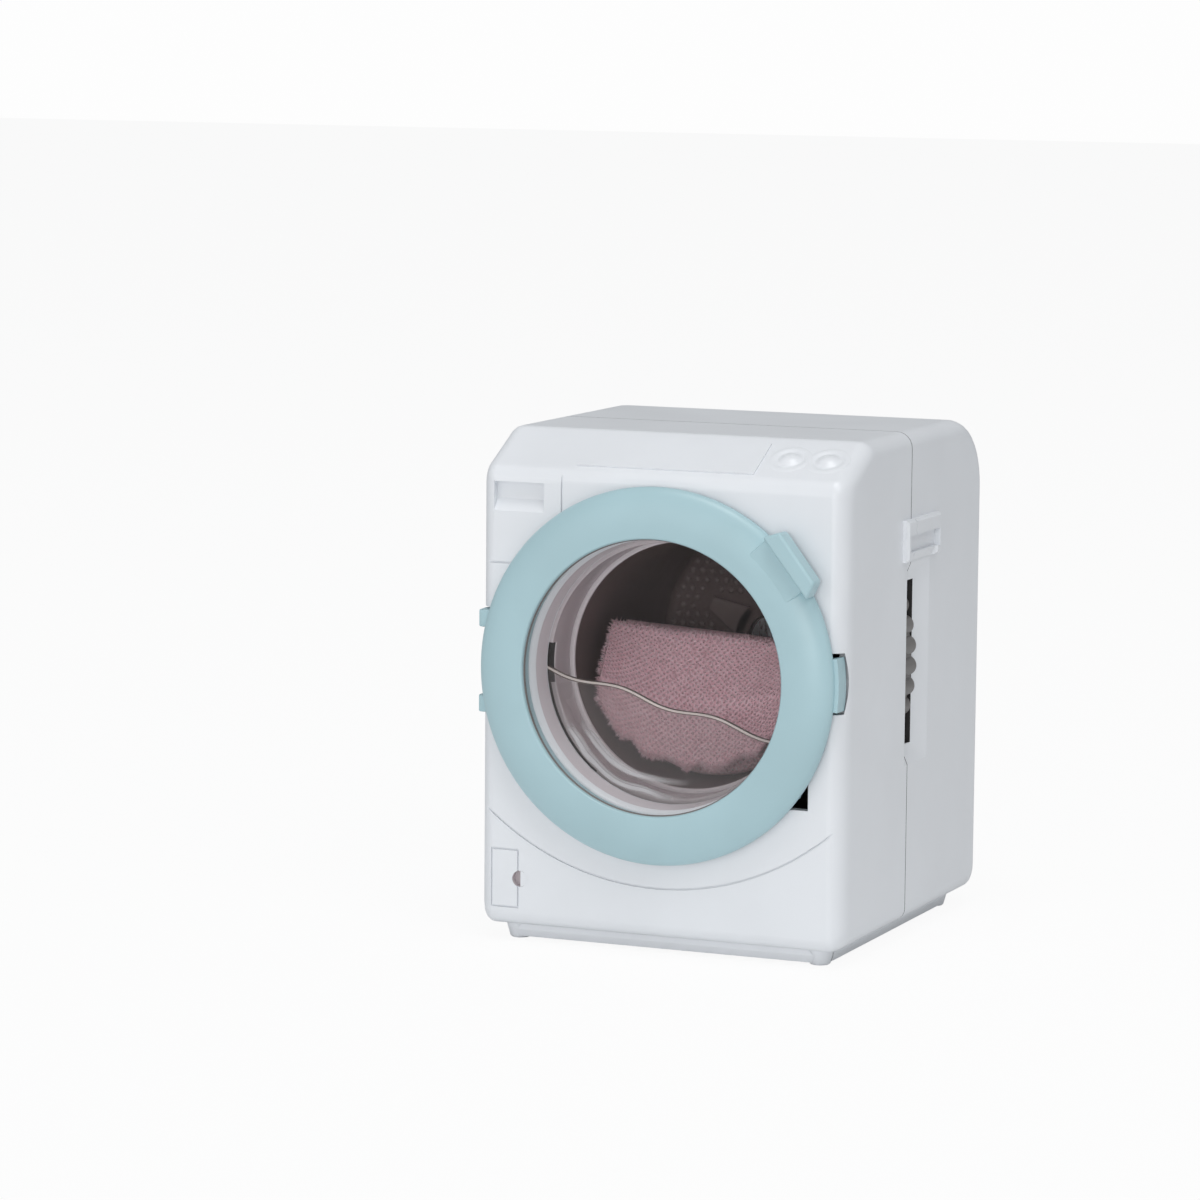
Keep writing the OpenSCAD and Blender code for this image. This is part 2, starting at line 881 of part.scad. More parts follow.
module door_ring() {
    color("#a6c6ce")
        difference() {
            union() {
                at_door() {
                    rotate_extrude($fn = 180)
                        polygon(ring_section());
                    handle_bar();
                    intersection() {
                        difference() {
                            plug(latch_r, -dome_start, latch_depth);
                            plug(latch_r - 1.6, -2 * dome_start, latch_depth + 1);
                        }
                        translate([0, pocket_z - latch_h / 2, -2 * latch_depth])
                            cube([2 * ring_r, latch_h, 4 * latch_depth]);
                    }
                    translate([hook_corner[0] - hook_hole[0] + 0.3, hook_corner[1] + 1.3, -hook_len])
                        cube([hook_size[0], hook_size[1], hook_len + gap + 0.3]);
                }
                for (up = [-1, 1])
                    knuckle(hinge_z + up * knuckle_spread);
            }
            for (up = [-1, 1])
                translate([hinge_x, hinge_y, hinge_z + up * (knuckle_spread + knuckle_h / 2 - pin_bite / 2)
                                             - pin_bite / 2])
                    translate([0, 0, up > 0 ? 0 : -eps])
                        cylinder(r = pin_r, h = pin_bite + eps);
        }
}

module door_window() {
    color("#dfe8ea", 0.3)
        at_door()
            translate([0, 0, rebate_at - pane_t])
                cylinder(r = rebate_r, h = pane_t, $fn = 180);
}

module window_retainer() {
    color("#a6c6ce")
        at_door()
            translate([0, 0, gap])
                difference() {
                    cylinder(r = rebate_r, h = rebate_at - pane_t - gap, $fn = 180);
                    translate([0, 0, -1])
                        cylinder(r = pane_r + 0.3, h = 2 * ring_proud, $fn = 180);
                }
}

module hinge_pins() {
    reach = pin_bite + notch_gap + pin_reach - 0.2;
    color("silver")
        for (up = [-1, 1])
            translate([hinge_x, hinge_y,
                       hinge_z + up * (knuckle_spread + knuckle_h / 2 - pin_bite + reach / 2)
                       - reach / 2])
                cylinder(r = pin_r, h = reach);
}

// ---- water plate and its collar ----------------------------------------------------

module tub_collar() {
    color("#dcdfe1")
        at_door()
            difference() {
                union() {
                    tube(collar_out, collar_r, collar_front, collar_end);
                    intersection() {
                        tube(block_out, collar_r, mouth_end, collar_end);
                        wedge(slot_end, 180 - slot_end, mouth_end, collar_end);
                    }
                    at_collar_screws()
                        plug(ear_r, mouth_end, mouth_end + ear_t);
                }
                plug(collar_r, mouth_end - 1, collar_end + 1);
                at_collar_screws() {
                    plug(small_screw_r + small_clear, mouth_end - 1, collar_end + 1);
                    plug(small_head_r + small_clear, mouth_end + ear_t, collar_end + 1);
                }
            }
}

// Outline below the waves, with the plate held level
module wave_outline() {
    span = skirt_out + 1;
    polygon(concat(
        [for (i = [0:wave_points])
            let (x = -span + 2 * span * i / wave_points)
            [x, -water_drop + wave_h * cos(360 * (x + wave_len / 2 - 0.5) / wave_len)]],
        [[span, -span], [-span, -span]]));
}

// Water plate: a clear sheet in the slot, with a skirt that runs round the collar
module water_plate() {
    sheet_at = mouth_end + gap;
    skirt_from = 180 + asin(water_drop / skirt_out) + skirt_trim;
    color("#dfe8ea", 0.35)
        at_door()
            rotate([0, 0, -plate_lean]) {
                translate([0, 0, -sheet_at - plate_t])
                    linear_extrude(height = plate_t)
                        intersection() {
                            wave_outline();
                            union() {
                                circle(r = plate_corner_r, $fn = 180);
                                intersection() {
                                    circle(r = skirt_out, $fn = 180);
                                    sector(skirt_from, 540 - skirt_from);
                                }
                            }
                        }
                intersection() {
                    tube(skirt_out, skirt_in, sheet_at, skirt_end);
                    wedge(skirt_from, 540 - skirt_from, sheet_at, skirt_end);
                }
            }
}

module drag_ring() {
    color("#3a3a3c")
        at_door()
            tube(skirt_in - 0.1, drum_out, drag_at, drag_at + drag_w);
}

// ---- drum ------------------------------------------------------------------------

module star() {
    difference() {
        union() {
            plug(star_r, floor_at - star_h, floor_at + eps);
            for (i = [0:star_arms - 1])
                rotate([0, 0, 154 + i * 360 / star_arms])
                    translate([0, 0, -floor_at - eps])
                        linear_extrude(height = star_h + eps)
                            polygon([[star_r - 1.4, -2.4], [star_tip, -0.9],
                                     [star_tip, 0.9], [star_r - 1.4, 2.4]]);
        }
        plug(star_well, floor_at - star_h - 1, floor_at);
    }
}

module drum() {
    color("#4d4242")
        at_door()
            difference() {
                union() {
                    difference() {
                        plug(drum_out, drum_mouth, floor_at + drum_floor);
                        translate([0, 0, -floor_at])
                            cylinder(r1 = drum_r - drum_draft, r2 = drum_r, h = drum_depth + eps,
                                     $fn = 180);
                    }
                    star();
                    plug(hub_r, floor_at, hub_end);
                    tube(drum_out + shoulder_h, drum_out - 0.2, wheel_back, wheel_back + 1.2);
                }
                plug(axle_r + running, drum_mouth, hub_end + 1);
            }
}

module thumb_wheel() {
    color("#6d6765")
        at_door()
            difference() {
                translate([0, 0, -wheel_back])
                    linear_extrude(height = wheel_t)
                        union() {
                            circle(r = wheel_r - scallop_h, $fn = 180);
                            for (i = [0:scallops - 1])
                                rotate([0, 0, -1.4 + i * 360 / scallops])
                                    translate([wheel_r - scallop_r, 0])
                                        circle(r = scallop_r, $fn = 24);
                        }
                plug(drum_out, wheel_front - 1, wheel_back + 1);
                tube(wheel_r - scallop_h - wheel_rim, drum_out + wheel_hub,
                     wheel_front - 1, wheel_front + (wheel_t - web_t) / 2);
                tube(wheel_r - scallop_h - wheel_rim, drum_out + wheel_hub,
                     wheel_back - (wheel_t - web_t) / 2, wheel_back + 1);
            }
}

module axle_washer() {
    color("silver")
        at_door()
            tube(washer_r, axle_r, floor_at - gap / 2 - washer_t, floor_at - gap / 2);
}

module axle_screw() {
    head_at = floor_at - gap / 2 - washer_t;
    color("silver")
        at_door()
            difference() {
                union() {
                    plug(axle_head_r, head_at - screw_head_h, head_at);
                    plug(axle_r, head_at - eps, post_face);
                    plug(thread_r, post_face - eps, body_d - wall - 0.5);
                }
                cross_slot(axle_head_r, head_at - screw_head_h);
            }
}

// ---- fasteners ---------------------------------------------------------------------

// Cross recess in a screw head whose face is at the given depth
module cross_slot(head_r, face) {
    for (a = [0, 90])
        rotate([0, 0, a])
            translate([-head_r * 0.6, -0.2, -face - 0.5])
                cube([head_r * 1.2, 0.4, 1.5]);
}

module case_screws() {
    head_back = seam_depth + case_run + case_head_h;
    color("silver")
        at_door()
            at_case_screws()
                difference() {
                    union() {
                        plug(case_head_r, seam_depth + case_run, head_back);
                        plug(case_r, seam_depth - case_bite, seam_depth + case_run + eps);
                    }
                    for (a = [0, 90])
                        rotate([0, 0, a])
                            translate([-case_head_r * 0.6, -0.25, -head_back - 1])
                                cube([case_head_r * 1.2, 0.5, 1.6]);
                }
}

module collar_screws() {
    head_at = mouth_end + ear_t;
    color("silver")
        at_door()
            at_collar_screws()
                difference() {
                    union() {
                        plug(small_head_r, head_at, head_at + small_head_h);
                        plug(small_screw_r, wall + gap, head_at + eps);
                    }
                    for (a = [0, 90])
                        rotate([0, 0, a])
                            translate([-small_slot[0] / 2, -small_slot[1] / 2,
                                       -head_at - 2 * small_head_h])
                                cube([small_slot[0], small_slot[1], small_head_h + small_slot[2]]);
                }
}

module base_screws() {
    head_top = body_lift - plinth_top;
    color("silver")
        at_base_screws()
            difference() {
                union() {
                    translate([0, 0, head_top - 0.8])
                        cylinder(r = base_head_r, h = 0.8);
                    translate([0, 0, head_top - eps])
                        cylinder(r = case_r, h = plinth_top + wall + base_boss_h - 1.2);
                }
                for (a = [0, 90])
                    rotate([0, 0, a])
                        translate([-1.1, -0.2, head_top - 1])
                            cube([2.2, 0.4, 0.6]);
            }
}

// ---- laundry -----------------------------------------------------------------------

towel_front = drum_mouth + 1.9;
towel_lean = 3.7;
towel_rest = 0.35;
towel_fall = 0.056;
towel_lift = 1.4;
towel_fold = 1.6;
towel_end = 2.2;
towel_ends = [0, 25, 55, 90];
towel_bays = 12;

// Places across the towel where its section is drawn, with how much each is drawn in
towel_w = 2 * drum_r - towel_room;
towel_half = towel_w / 2;
towel_span = towel_half - towel_end;
towel_stations = concat(
    [for (a = towel_ends) [-towel_span - towel_end * cos(a), towel_end * (1 - sin(a))]],
    [for (i = [1:towel_bays - 1]) [-towel_span + 2 * towel_span * i / towel_bays, 0]],
    [for (i = [len(towel_ends) - 1:-1:0])
        [towel_span + towel_end * cos(towel_ends[i]), towel_end * (1 - sin(towel_ends[i]))]]);

// Section of the folded towel at x: two layers with a fold between them, resting on the drum
function towel_section(x, drawn) =
    let (
        deep = towel_front + towel_d,
        reach = drum_r - drum_draft * (deep - drum_mouth) / drum_depth - towel_rest,
        low = -sqrt(reach * reach - x * x),
        high = towel_rise - towel_fall * x,
        mid = towel_front + towel_d * 0.56,
        centre = [mid, (low + high) / 2],
        keep = 1 - drawn / 6,
        line = rounded(
            [[towel_front, low + towel_lift], [towel_front + 0.3, low / 3],
             [towel_front + towel_lean, high], [mid - 0.3, high], [mid, high - towel_fold],
             [mid + 0.4, high - 0.4], [deep, high - 0.4], [deep, low + 0.1],
             [mid + 0.4, low], [mid, low + towel_fold], [mid - 0.3, low + 0.2]],
            [2.2, 4, 1.4, 1.0, 0.15, 0.8, 1.6, 1.6, 0.8, 0.15, 0.9],
            [4, 2, 3, 3, 1, 2, 3, 3, 2, 1, 2])
    )
    [for (p = line) centre + keep * (p - centre)];

towel_rings = [for (s = towel_stations)
    [for (p = towel_section(s[0], s[1])) [s[0], front_y + p[0], axis_z + p[1]]]];
towel_n = len(towel_rings[0]);
towel_m = len(towel_rings);

// Middle of a ring of points
function ring_middle(points, i = 0, sum = [0, 0, 0]) =
    i == len(points) ? sum / len(points) : ring_middle(points, i + 1, sum + points[i]);

module towel() {
    points = concat([for (ring = towel_rings) each ring],
                    [ring_middle(towel_rings[0]), ring_middle(towel_rings[towel_m - 1])]);
    left = towel_n * towel_m;
    right = left + 1;
    last = towel_n * (towel_m - 1);
    sides = [for (r = [0:towel_m - 2], i = [0:towel_n - 1])
        let (
            j = (i + 1) % towel_n,
            a = r * towel_n + i,
            b = r * towel_n + j,
            c = (r + 1) * towel_n + j,
            d = (r + 1) * towel_n + i
        )
        each [[a, b, c], [a, c, d]]];
    ends = [for (i = [0:towel_n - 1])
        let (j = (i + 1) % towel_n)
        each [[left, j, i], [right, last + i, last + j]]];
    color("#b08795")
        polyhedron(points = points, faces = concat(sides, ends), convexity = 6);
}

front_shell();
rear_shell();
base_plate();
feet();
door_ring();
door_window();
window_retainer();
hinge_pins();
tub_collar();
water_plate();
drag_ring();
drum();
thumb_wheel();
axle_screw();
axle_washer();
case_screws();
collar_screws();
base_screws();
towel();
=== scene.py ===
# %% [markdown]
# # A toy washing machine, dressed in Blender
# The CAD model gives every solid its place and its motion. This lesson adds the looks: smooth
# turned parts, a folded towel, clear plastic, studio light and a camera at the photograph's angle.
# Everything is in metres, and the front of the machine faces -Y.

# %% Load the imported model
import math
import random

import bmesh
import bpy
from mathutils import Matrix, Vector


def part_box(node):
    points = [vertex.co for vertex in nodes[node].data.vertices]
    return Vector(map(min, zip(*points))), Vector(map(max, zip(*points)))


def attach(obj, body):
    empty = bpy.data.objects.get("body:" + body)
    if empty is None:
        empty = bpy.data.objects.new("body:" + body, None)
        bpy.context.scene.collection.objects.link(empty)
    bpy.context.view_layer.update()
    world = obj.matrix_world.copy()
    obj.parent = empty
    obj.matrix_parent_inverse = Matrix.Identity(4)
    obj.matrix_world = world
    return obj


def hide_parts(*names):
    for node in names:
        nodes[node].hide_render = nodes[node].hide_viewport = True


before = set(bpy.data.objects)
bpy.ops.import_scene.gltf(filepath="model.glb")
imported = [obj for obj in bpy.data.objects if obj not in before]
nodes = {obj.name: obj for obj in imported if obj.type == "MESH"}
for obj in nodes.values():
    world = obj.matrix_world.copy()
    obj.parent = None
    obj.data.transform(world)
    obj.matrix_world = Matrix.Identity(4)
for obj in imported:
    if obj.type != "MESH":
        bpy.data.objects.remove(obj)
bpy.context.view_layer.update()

# %% [markdown]
# The maker thinks in millimetres from the drum's axis: how far across, how far up, and how far in
# front of the casing. The casing's own box gives the front plane, and the pane's box gives the
# height of the axis, so the pieces follow the CAD model. Three features that more than one step
# needs are named here: the grip frame that stands out of the sides, the control slope at the top
# of the front, and the finger notch of the service flap.

# %% Planes and places
MM = 0.001
grip_stands = 0.85
slope_drop, slope_depth = 4.85, 9.2
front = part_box("front_shell")[0].y / MM
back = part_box("rear_shell")[1].y / MM
half_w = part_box("rear_shell")[1].x / MM - grip_stands
axis = (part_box("door_window")[0].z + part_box("door_window")[1].z) / 2 / MM
casing_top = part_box("rear_shell")[1].z / MM
notch = (-half_w + 6.0, 8.4)


def place(x, up, out):
    """A point in metres: across and up from the drum's axis, and out in front of the casing."""
    return Vector((x, front - out, axis + up)) * MM


print(f"front {front:.2f}, back {back:.2f}, half width {half_w:.2f}, axis {axis:.2f} mm")

# %% [markdown]
# ## Camera
# The photograph was taken with a long lens from the right of the front and a little above. The
# camera comes first, because every later choice is judged through it.

# %% Camera
azimuth, elevation, roll = math.radians(23.124), math.radians(7.383), math.radians(0.477)
toward = Vector((math.sin(azimuth) * math.cos(elevation), -math.cos(azimuth) * math.cos(elevation),
                 math.sin(elevation)))
right = Vector((math.cos(azimuth), math.sin(azimuth), 0))
upward = toward.cross(right)
turned = (right * math.cos(roll) + upward * math.sin(roll),
          upward * math.cos(roll) - right * math.sin(roll), toward)
camera_at, lens_mm, sensor_mm = Vector((0.22943, -0.58023, 0.12356)), 144.40, 36
camera = bpy.data.objects.new("camera", bpy.data.cameras.new("camera"))
camera.matrix_world = Matrix.Translation(camera_at) @ Matrix(turned).transposed().to_4x4()
camera.data.lens, camera.data.sensor_width = lens_mm, sensor_mm
camera.data.clip_start, camera.data.clip_end = 0.01, 20
scene = bpy.context.scene
scene.collection.objects.link(camera)
scene.camera = camera
print("camera at", [round(v, 3) for v in camera.location])

# %% [markdown]
# ## Studio
# Four soft lamps light the machine: the strongest from above, one nearly straight in front, and
# weaker ones from the left and from the upper right. They leave the right side a step darker than
# the front, as in the photograph, and the world gives the rest. The white background comes from Is
# Camera Ray in the world and the floor, not from more light.

# %% Lights
scene.view_settings.view_transform = "Standard"
machine_middle = Vector((0, 0, 0.033))


def lamp(name, direction, distance, size, level, colour=(1, 1, 1)):
    """An area light that adds about `level` to a white surface that faces it."""
    data = bpy.data.lights.new(name, "AREA")
    data.shape, data.size, data.color = "SQUARE", size, colour
    data.energy = level * math.pi ** 2 * distance ** 2
    made = bpy.data.objects.new(name, data)
    aim = Vector(direction).normalized()
    made.location = machine_middle + aim * distance
    made.rotation_euler = aim.to_track_quat("Z", "Y").to_euler()
    scene.collection.objects.link(made)


lamp("key_light", (-0.40, -0.90, 0.22), 1.6, 0.9, 0.10)
lamp("front_light", (0.22, -1.0, 0.10), 1.3, 0.5, 0.235)
lamp("side_light", (0.6, -0.45, 0.7), 1.3, 0.5, 0.13)
lamp("top_light", (0.1, -0.25, 1), 1.1, 0.5, 0.33)

# %% [markdown]
# ## Shader sums
# Materials here are sums of a few patterns. This small class wraps a socket so that a plain Python
# expression adds its Math nodes, and one method makes every other kind of node.


# %% Signals
class Signal:
    """A socket of a material, used like a number."""

    def __init__(self, tree, socket=None):
        self.tree, self.socket = tree, socket

    def node(self, kind, settings=(), sockets=(), out=0):
        made = self.tree.nodes.new("ShaderNode" + kind)
        for key, value in dict(settings).items():
            setattr(made, key, value)
        for key, value in dict(sockets).items():
            if isinstance(value, Signal):
                self.tree.links.new(value.socket, made.inputs[key])
            else:
                made.inputs[key].default_value = value
        return Signal(self.tree, made.outputs[out])

    def maths(self, operation, a, b=0.0):
        return self.node("Math", {"operation": operation}, {0: a, 1: b})

    def __add__(self, other):
        return self.maths("ADD", self, other)

    __radd__ = __add__

    def __sub__(self, other):
        return self.maths("SUBTRACT", self, other)

    def __rsub__(self, other):
        return self.maths("SUBTRACT", other, self)

    def __mul__(self, other):
        return self.maths("MULTIPLY", self, other)

    __rmul__ = __mul__

    def mix(self, a, b):
        """Colour a where this is 0 and b where it is 1."""
        return self.node("Mix", {"data_type": "RGBA"}, {0: self, 6: a, 7: b}, out=2)

    def ramp(self, low, high, to_low=0.0, to_high=1.0):
        return self.node("MapRange", {"interpolation_type": "SMOOTHSTEP"},
                         {0: self, 1: low, 2: high, 3: to_low, 4: to_high})

    def noise(self, vector, scale, detail=2.0, rough=0.5):
        return self.node("TexNoise", {}, {"Vector": vector, "Scale": scale, "Detail": detail,
                                          "Roughness": rough})

    def bump(self, strength, distance):
        return self.node("Bump", {}, {"Strength": strength, "Distance": distance, "Height": self})


def rgb(red, green, blue):
    return (red, green, blue, 1.0)


def new_material(name, recipe):
    """A material whose recipe takes an empty Signal and gives the shader to show."""
    material = bpy.data.materials.new(name)
    material.use_nodes = True
    material.node_tree.nodes.clear()
    start = Signal(material.node_tree)
    shader = recipe(start)
    output = material.node_tree.nodes.new("ShaderNodeOutputMaterial")
    material.node_tree.links.new(shader.socket, output.inputs["Surface"])
    return material


print("signals ready")

# %% [markdown]
# ## Floor and background
# The floor is a wide pale sheet. To the camera it is mostly plain white, with a part of its real
# shading left in, so that the machine still stands on a shadow.

# %% Floor and world
whitened = 0.92


def floor_recipe(s):
    seen = s.node("LightPath", out="Is Camera Ray")
    grain = s.noise(s.node("TexCoord", out="Object"), 40.0)
    pale = s.node("BsdfPrincipled", {}, {
        "Base Color": grain.mix(rgb(0.88, 0.88, 0.88), rgb(0.90, 0.90, 0.90)), "Roughness": 0.9,
        "Specular IOR Level": 0.1})
    white = s.node("Emission", {}, {"Color": rgb(1.0, 1.0, 1.0), "Strength": 1.0})
    return s.node("MixShader", {}, {0: seen * whitened, 1: pale, 2: white})


bm = bmesh.new()
bmesh.ops.create_grid(bm, x_segments=8, y_segments=8, size=3.0)
floor_mesh = bpy.data.meshes.new("floor")
bm.to_mesh(floor_mesh)
bm.free()
floor = bpy.data.objects.new("floor", floor_mesh)
floor_mesh.materials.append(new_material("floor_paper", floor_recipe))
scene.collection.objects.link(floor)

world = bpy.data.worlds.new("studio")
scene.world = world
world.use_nodes = True
world.node_tree.nodes.clear()
w = Signal(world.node_tree)
seen = w.node("LightPath", out="Is Camera Ray")
glass = w.node("LightPath", out="Is Transmission Ray")
both = w.maths("MAXIMUM", seen, glass)
soft = w.node("Background", {}, {"Color": rgb(0.94, 0.97, 1.0), "Strength": 0.38})
plain = w.node("Background", {}, {"Color": rgb(0.985, 0.985, 0.985), "Strength": 1.0})
sky = w.node("MixShader", {}, {0: both, 1: soft, 2: plain})
world_out = world.node_tree.nodes.new("ShaderNodeOutputWorld")
world.node_tree.links.new(sky.socket, world_out.inputs["Surface"])
print("floor and world made")

# %% [markdown]
# ## Finishes
# The casing, ring and collar are moulded plastic with a satin gloss. Real mouldings are never one
# flat colour: a slow drift in tone, small changes in gloss and sometimes a fine grain tell the eye
# what they are. Each finish below has the first two, at the scale of a toy that is 66 mm high. The
# pale ones have no grain, because on them it shows as specks.


# %% Moulded plastics
def moulded(colour, rough, drift=0.03, grain=0.0, grain_scale=2600.0, specular=0.5):
    """A recipe for a moulded plastic of one colour, with a fine grain where grain is set."""
    def recipe(s):
        where = s.node("TexCoord", out="Object")
        slow = s.noise(where, 60.0, 3.0)
        darker = rgb(*(c * (1 - drift) for c in colour))
        lighter = rgb(*(min(c * (1 + drift), 0.95) for c in colour))
        sockets = {
            "Base Color": slow.ramp(0.3, 0.7).mix(darker, lighter),
            "Roughness": slow.ramp(0.3, 0.7, rough - 0.02, rough + 0.02),
            "Specular IOR Level": specular}
        if grain:
            fine = s.noise(where, grain_scale, 2.0, 0.6)
            peel = s.noise(where, 420.0, 1.0)
            sockets["Roughness"] = fine.ramp(0.2, 0.8, rough - 0.03, rough + 0.03)
            sockets["Normal"] = (fine * 0.35 + peel).bump(grain, 0.000006)
        return s.node("BsdfPrincipled", {}, sockets)
    return recipe


plastics = {
    "casing": ("white_moulding", (0.80, 0.82, 0.85), 0.30, 0.02),
    "ring": ("turquoise_moulding", (0.41, 0.585, 0.63), 0.36, 0.035, 0.5, 3200.0),
    # the collar's own grey, also used as painted shade in the flap's notch
    "collar": ("grey_moulding", (0.585, 0.525, 0.545), 0.26),
    "drum": ("dark_moulding", (0.145, 0.104, 0.10), 0.34, 0.10, 0.3, 900.0, 0.4),
    # the wheel's own taupe, also used as painted shade for the rim round the pane
    "wheel": ("taupe_moulding", (0.17, 0.16, 0.155), 0.45, 0.08, 0.5),
    # painted light: a lighter copy of the drum's plastic for its studs and star arms
    "stud": ("glossy_studs", (0.215, 0.168, 0.163), 0.16, 0.1, 0.2, 900.0),
    # painted shade: near black for the casing's inner faces, seam gap and slot wall, and the slot's
    # bands
    "inside": ("shaded_inside", (0.035, 0.032, 0.032), 0.6, 0.03, 0.35),
    # painted shade: the mouth's white wall coloured lilac grey
    "wall": ("lilac_wall", (0.72, 0.675, 0.70), 0.26),
    # painted highlight: a pale finish for the drum's lip
    "lip": ("pale_lip", (0.80, 0.74, 0.76), 0.22, 0.02),
    "soft_rubber": ("black_rubber", (0.05, 0.05, 0.05), 0.75, 0.1, 0.8),
}
finish = {key: new_material(name, moulded(*look)) for key, (name, *look) in plastics.items()}
print("plastics:", sorted(finish))

# %% [markdown]
# The screws and pins are plated steel: metallic, with short brushed marks. The pane and the water
# plate are clear plastic. Alpha lets the studio light reach the towel behind them, which real glass
# shading would block. The plate's cut edge catches the light in one band and is dark beside it, so
# it gets two finishes of its own: a painted highlight and painted shade. Bright streaks low on the
# plate's left are painted reflections.


# %% Steel and clear plastics
def steel_recipe(s):
    where = s.node("TexCoord", out="Object")
    stretched = s.node("Mapping", {}, {"Vector": where, "Scale": (4000.0, 600.0, 600.0)})
    marks = s.noise(stretched, 1.0, 3.0)
    return s.node("BsdfPrincipled", {}, {
        "Base Color": marks.mix(rgb(0.50, 0.50, 0.52), rgb(0.66, 0.66, 0.68)),
        "Metallic": 1.0, "Roughness": marks.ramp(0.3, 0.7, 0.22, 0.38),
        "Normal": marks.bump(0.2, 0.00001)})


def clear_recipe(alpha, tint, rough=0.04, streaks=0.0):
    """Clear plastic that is hardly there, with painted reflections low on its left if asked for."""
    def recipe(s):
        where = s.node("TexCoord", out="Object")
        warped = s.noise(where, 70.0, 2.0)
        cover, colour = alpha + warped * 0.02, tint
        if streaks:
            centred = s.node("Mapping", {}, {"Vector": where, "Location": (0.0, 0.0, -axis * MM)})
            parts = s.node("SeparateXYZ", {}, {0: centred}, out="X")
            height = Signal(s.tree, parts.socket.node.outputs["Z"])
            from_axis = s.node("VectorMath", {"operation": "LENGTH"}, {0: s.node(
                "VectorMath", {"operation": "MULTIPLY"}, {0: centred, 1: (1.0, 0.0, 1.0)})},
                out="Value")
            rings = s.node("TexWave", {"wave_type": "RINGS", "rings_direction": "Y"}, {
                "Vector": centred, "Scale": 165.0, "Distortion": 2.6, "Detail": 1.0,
                "Detail Scale": 1.0})
            low_left = (parts.ramp(0.004, -0.004) * height.ramp(-0.0065, -0.0095)
                        * from_axis.ramp(0.0125, 0.0150))
            # painted reflection: bright streaks in rings at the plate's lower left
            painted_reflection = rings.ramp(0.45, 1.0) * low_left * streaks
            cover += painted_reflection
            colour = (painted_reflection * 2.0).mix(tint, rgb(0.86, 0.86, 0.88))
        return s.node("BsdfPrincipled", {}, {
            "Base Color": colour, "Roughness": rough, "Specular IOR Level": 0.5,
            "Coat Weight": 0.2, "Coat Roughness": 0.03, "Alpha": cover,
            "Normal": warped.bump(0.15, 0.0002)})
    return recipe


clear_plastics = {
    "clear": ("clear_pane", 0.03, rgb(0.22, 0.20, 0.20)),
    "plate": ("clear_plate", 0.06, rgb(0.55, 0.50, 0.50), 0.05, 0.55),
    # painted highlight and painted shade for the bands of the plate's rounded edge
    "edge_highlight": ("clear_painted_highlight", 0.88, rgb(0.74, 0.66, 0.62), 0.15),
    "edge_shade": ("clear_painted_shade", 0.80, rgb(0.13, 0.10, 0.09), 0.15),
}
finish["steel"] = new_material("plated_steel", steel_recipe)
for key, (name, *look) in clear_plastics.items():
    finish[key] = new_material(name, clear_recipe(*look))
print("finishes:", len(finish))

# %% [markdown]
# ## Making pieces
# A finished mesh sits at the origin, rides on a CAD body, and takes the place of the CAD nodes that
# it stands for. Smooth shading with sharp edges marked by angle, plus Weighted Normals, keeps flat
# faces flat and round faces round.


# %% Helper: finish a piece
def made_piece(name, bm, body, material, replaced=(), sharp=28, extra=()):
    """Turns a bmesh into a piece: smooth, with sharp edges by angle, riding on its body."""
    bm.normal_update()
    for face in bm.faces:
        face.smooth = True
    limit = math.radians(sharp)
    for edge in bm.edges:
        if len(edge.link_faces) == 2:
            edge.smooth = edge.calc_face_angle(0) < limit
    mesh = bpy.data.meshes.new(name)
    bm.to_mesh(mesh)
    bm.free()
    mesh.materials.append(finish[material])
    for other in extra:
        mesh.materials.append(finish[other])
    piece = bpy.data.objects.new(name, mesh)
    scene.collection.objects.link(piece)
    weighted = piece.modifiers.new("even shading", "WEIGHTED_NORMAL")
    weighted.keep_sharp = True
    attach(piece, body)
    if replaced:
        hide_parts(*replaced)
    print(f"{name}: {len(mesh.polygons)} faces on {body}")
    return piece


# %% [markdown]
# The casing halves, plinth, wheel and screws have the right shape already, but a CAD node arrives
# as loose flat triangles. A merged copy can be shaded smoothly, and the CAD mesh itself is left
# alone. In the front half the door's mouth is a coarse polygon, so those faces are left out of the
# copy and a turned lining takes their place. The real toy is dark through its gaps, so the faces
# inside the halves, in their seam and in the wheel's slot get painted shade in a near-black finish.
# The flap's notch gets painted shade in the collar's grey. Which faces these are is told by their
# place, measured from the front plane and the axis.

# %% Helpers: which faces of the casing are which
side_wall, roof_wall, inner_floor, skin = 1.25, 1.3, 3.4, 0.04
seam_at, seam_half = 23.95, 0.35
mouth_room_r, mouth_room_deep = 18.9, 4
slot_half_h, slot_from, slot_deep = 10.6, 24, 3
notch_r, notch_deep = 1.15, 1.2
mouth_r, mouth_deep, near_zero = 18.15, 3.9, 0.02


def is_shaded(point, normal):
    """True for painted shade: inside the casing, in the seam's gap and on the wheel slot's wall."""
    x, depth, z = abs(point.x) / MM, point.y / MM - front, point.z / MM
    roof = min(casing_top, casing_top - slope_drop + depth * slope_drop / slope_depth)
    in_walls = (x < half_w - side_wall and inner_floor < z < roof - roof_wall
                and depth < back - front - side_wall)
    in_seam = (abs(depth - seam_at) < seam_half and x < half_w - skin
               and z < casing_top - skin)
    in_slot = (normal.y < -0.9 and abs(z - axis) < slot_half_h and depth > slot_from
               and x > half_w - slot_deep)
    inward = (Vector((0, (front + back) / 2, axis)) * MM - point).dot(normal) > 0
    in_room = (inward and in_walls and depth > side_wall
               and (math.hypot(x, z - axis) > mouth_room_r or depth > mouth_room_deep))
    return in_room or (in_seam and (in_walls or abs(normal.y) > 0.5)) or in_slot


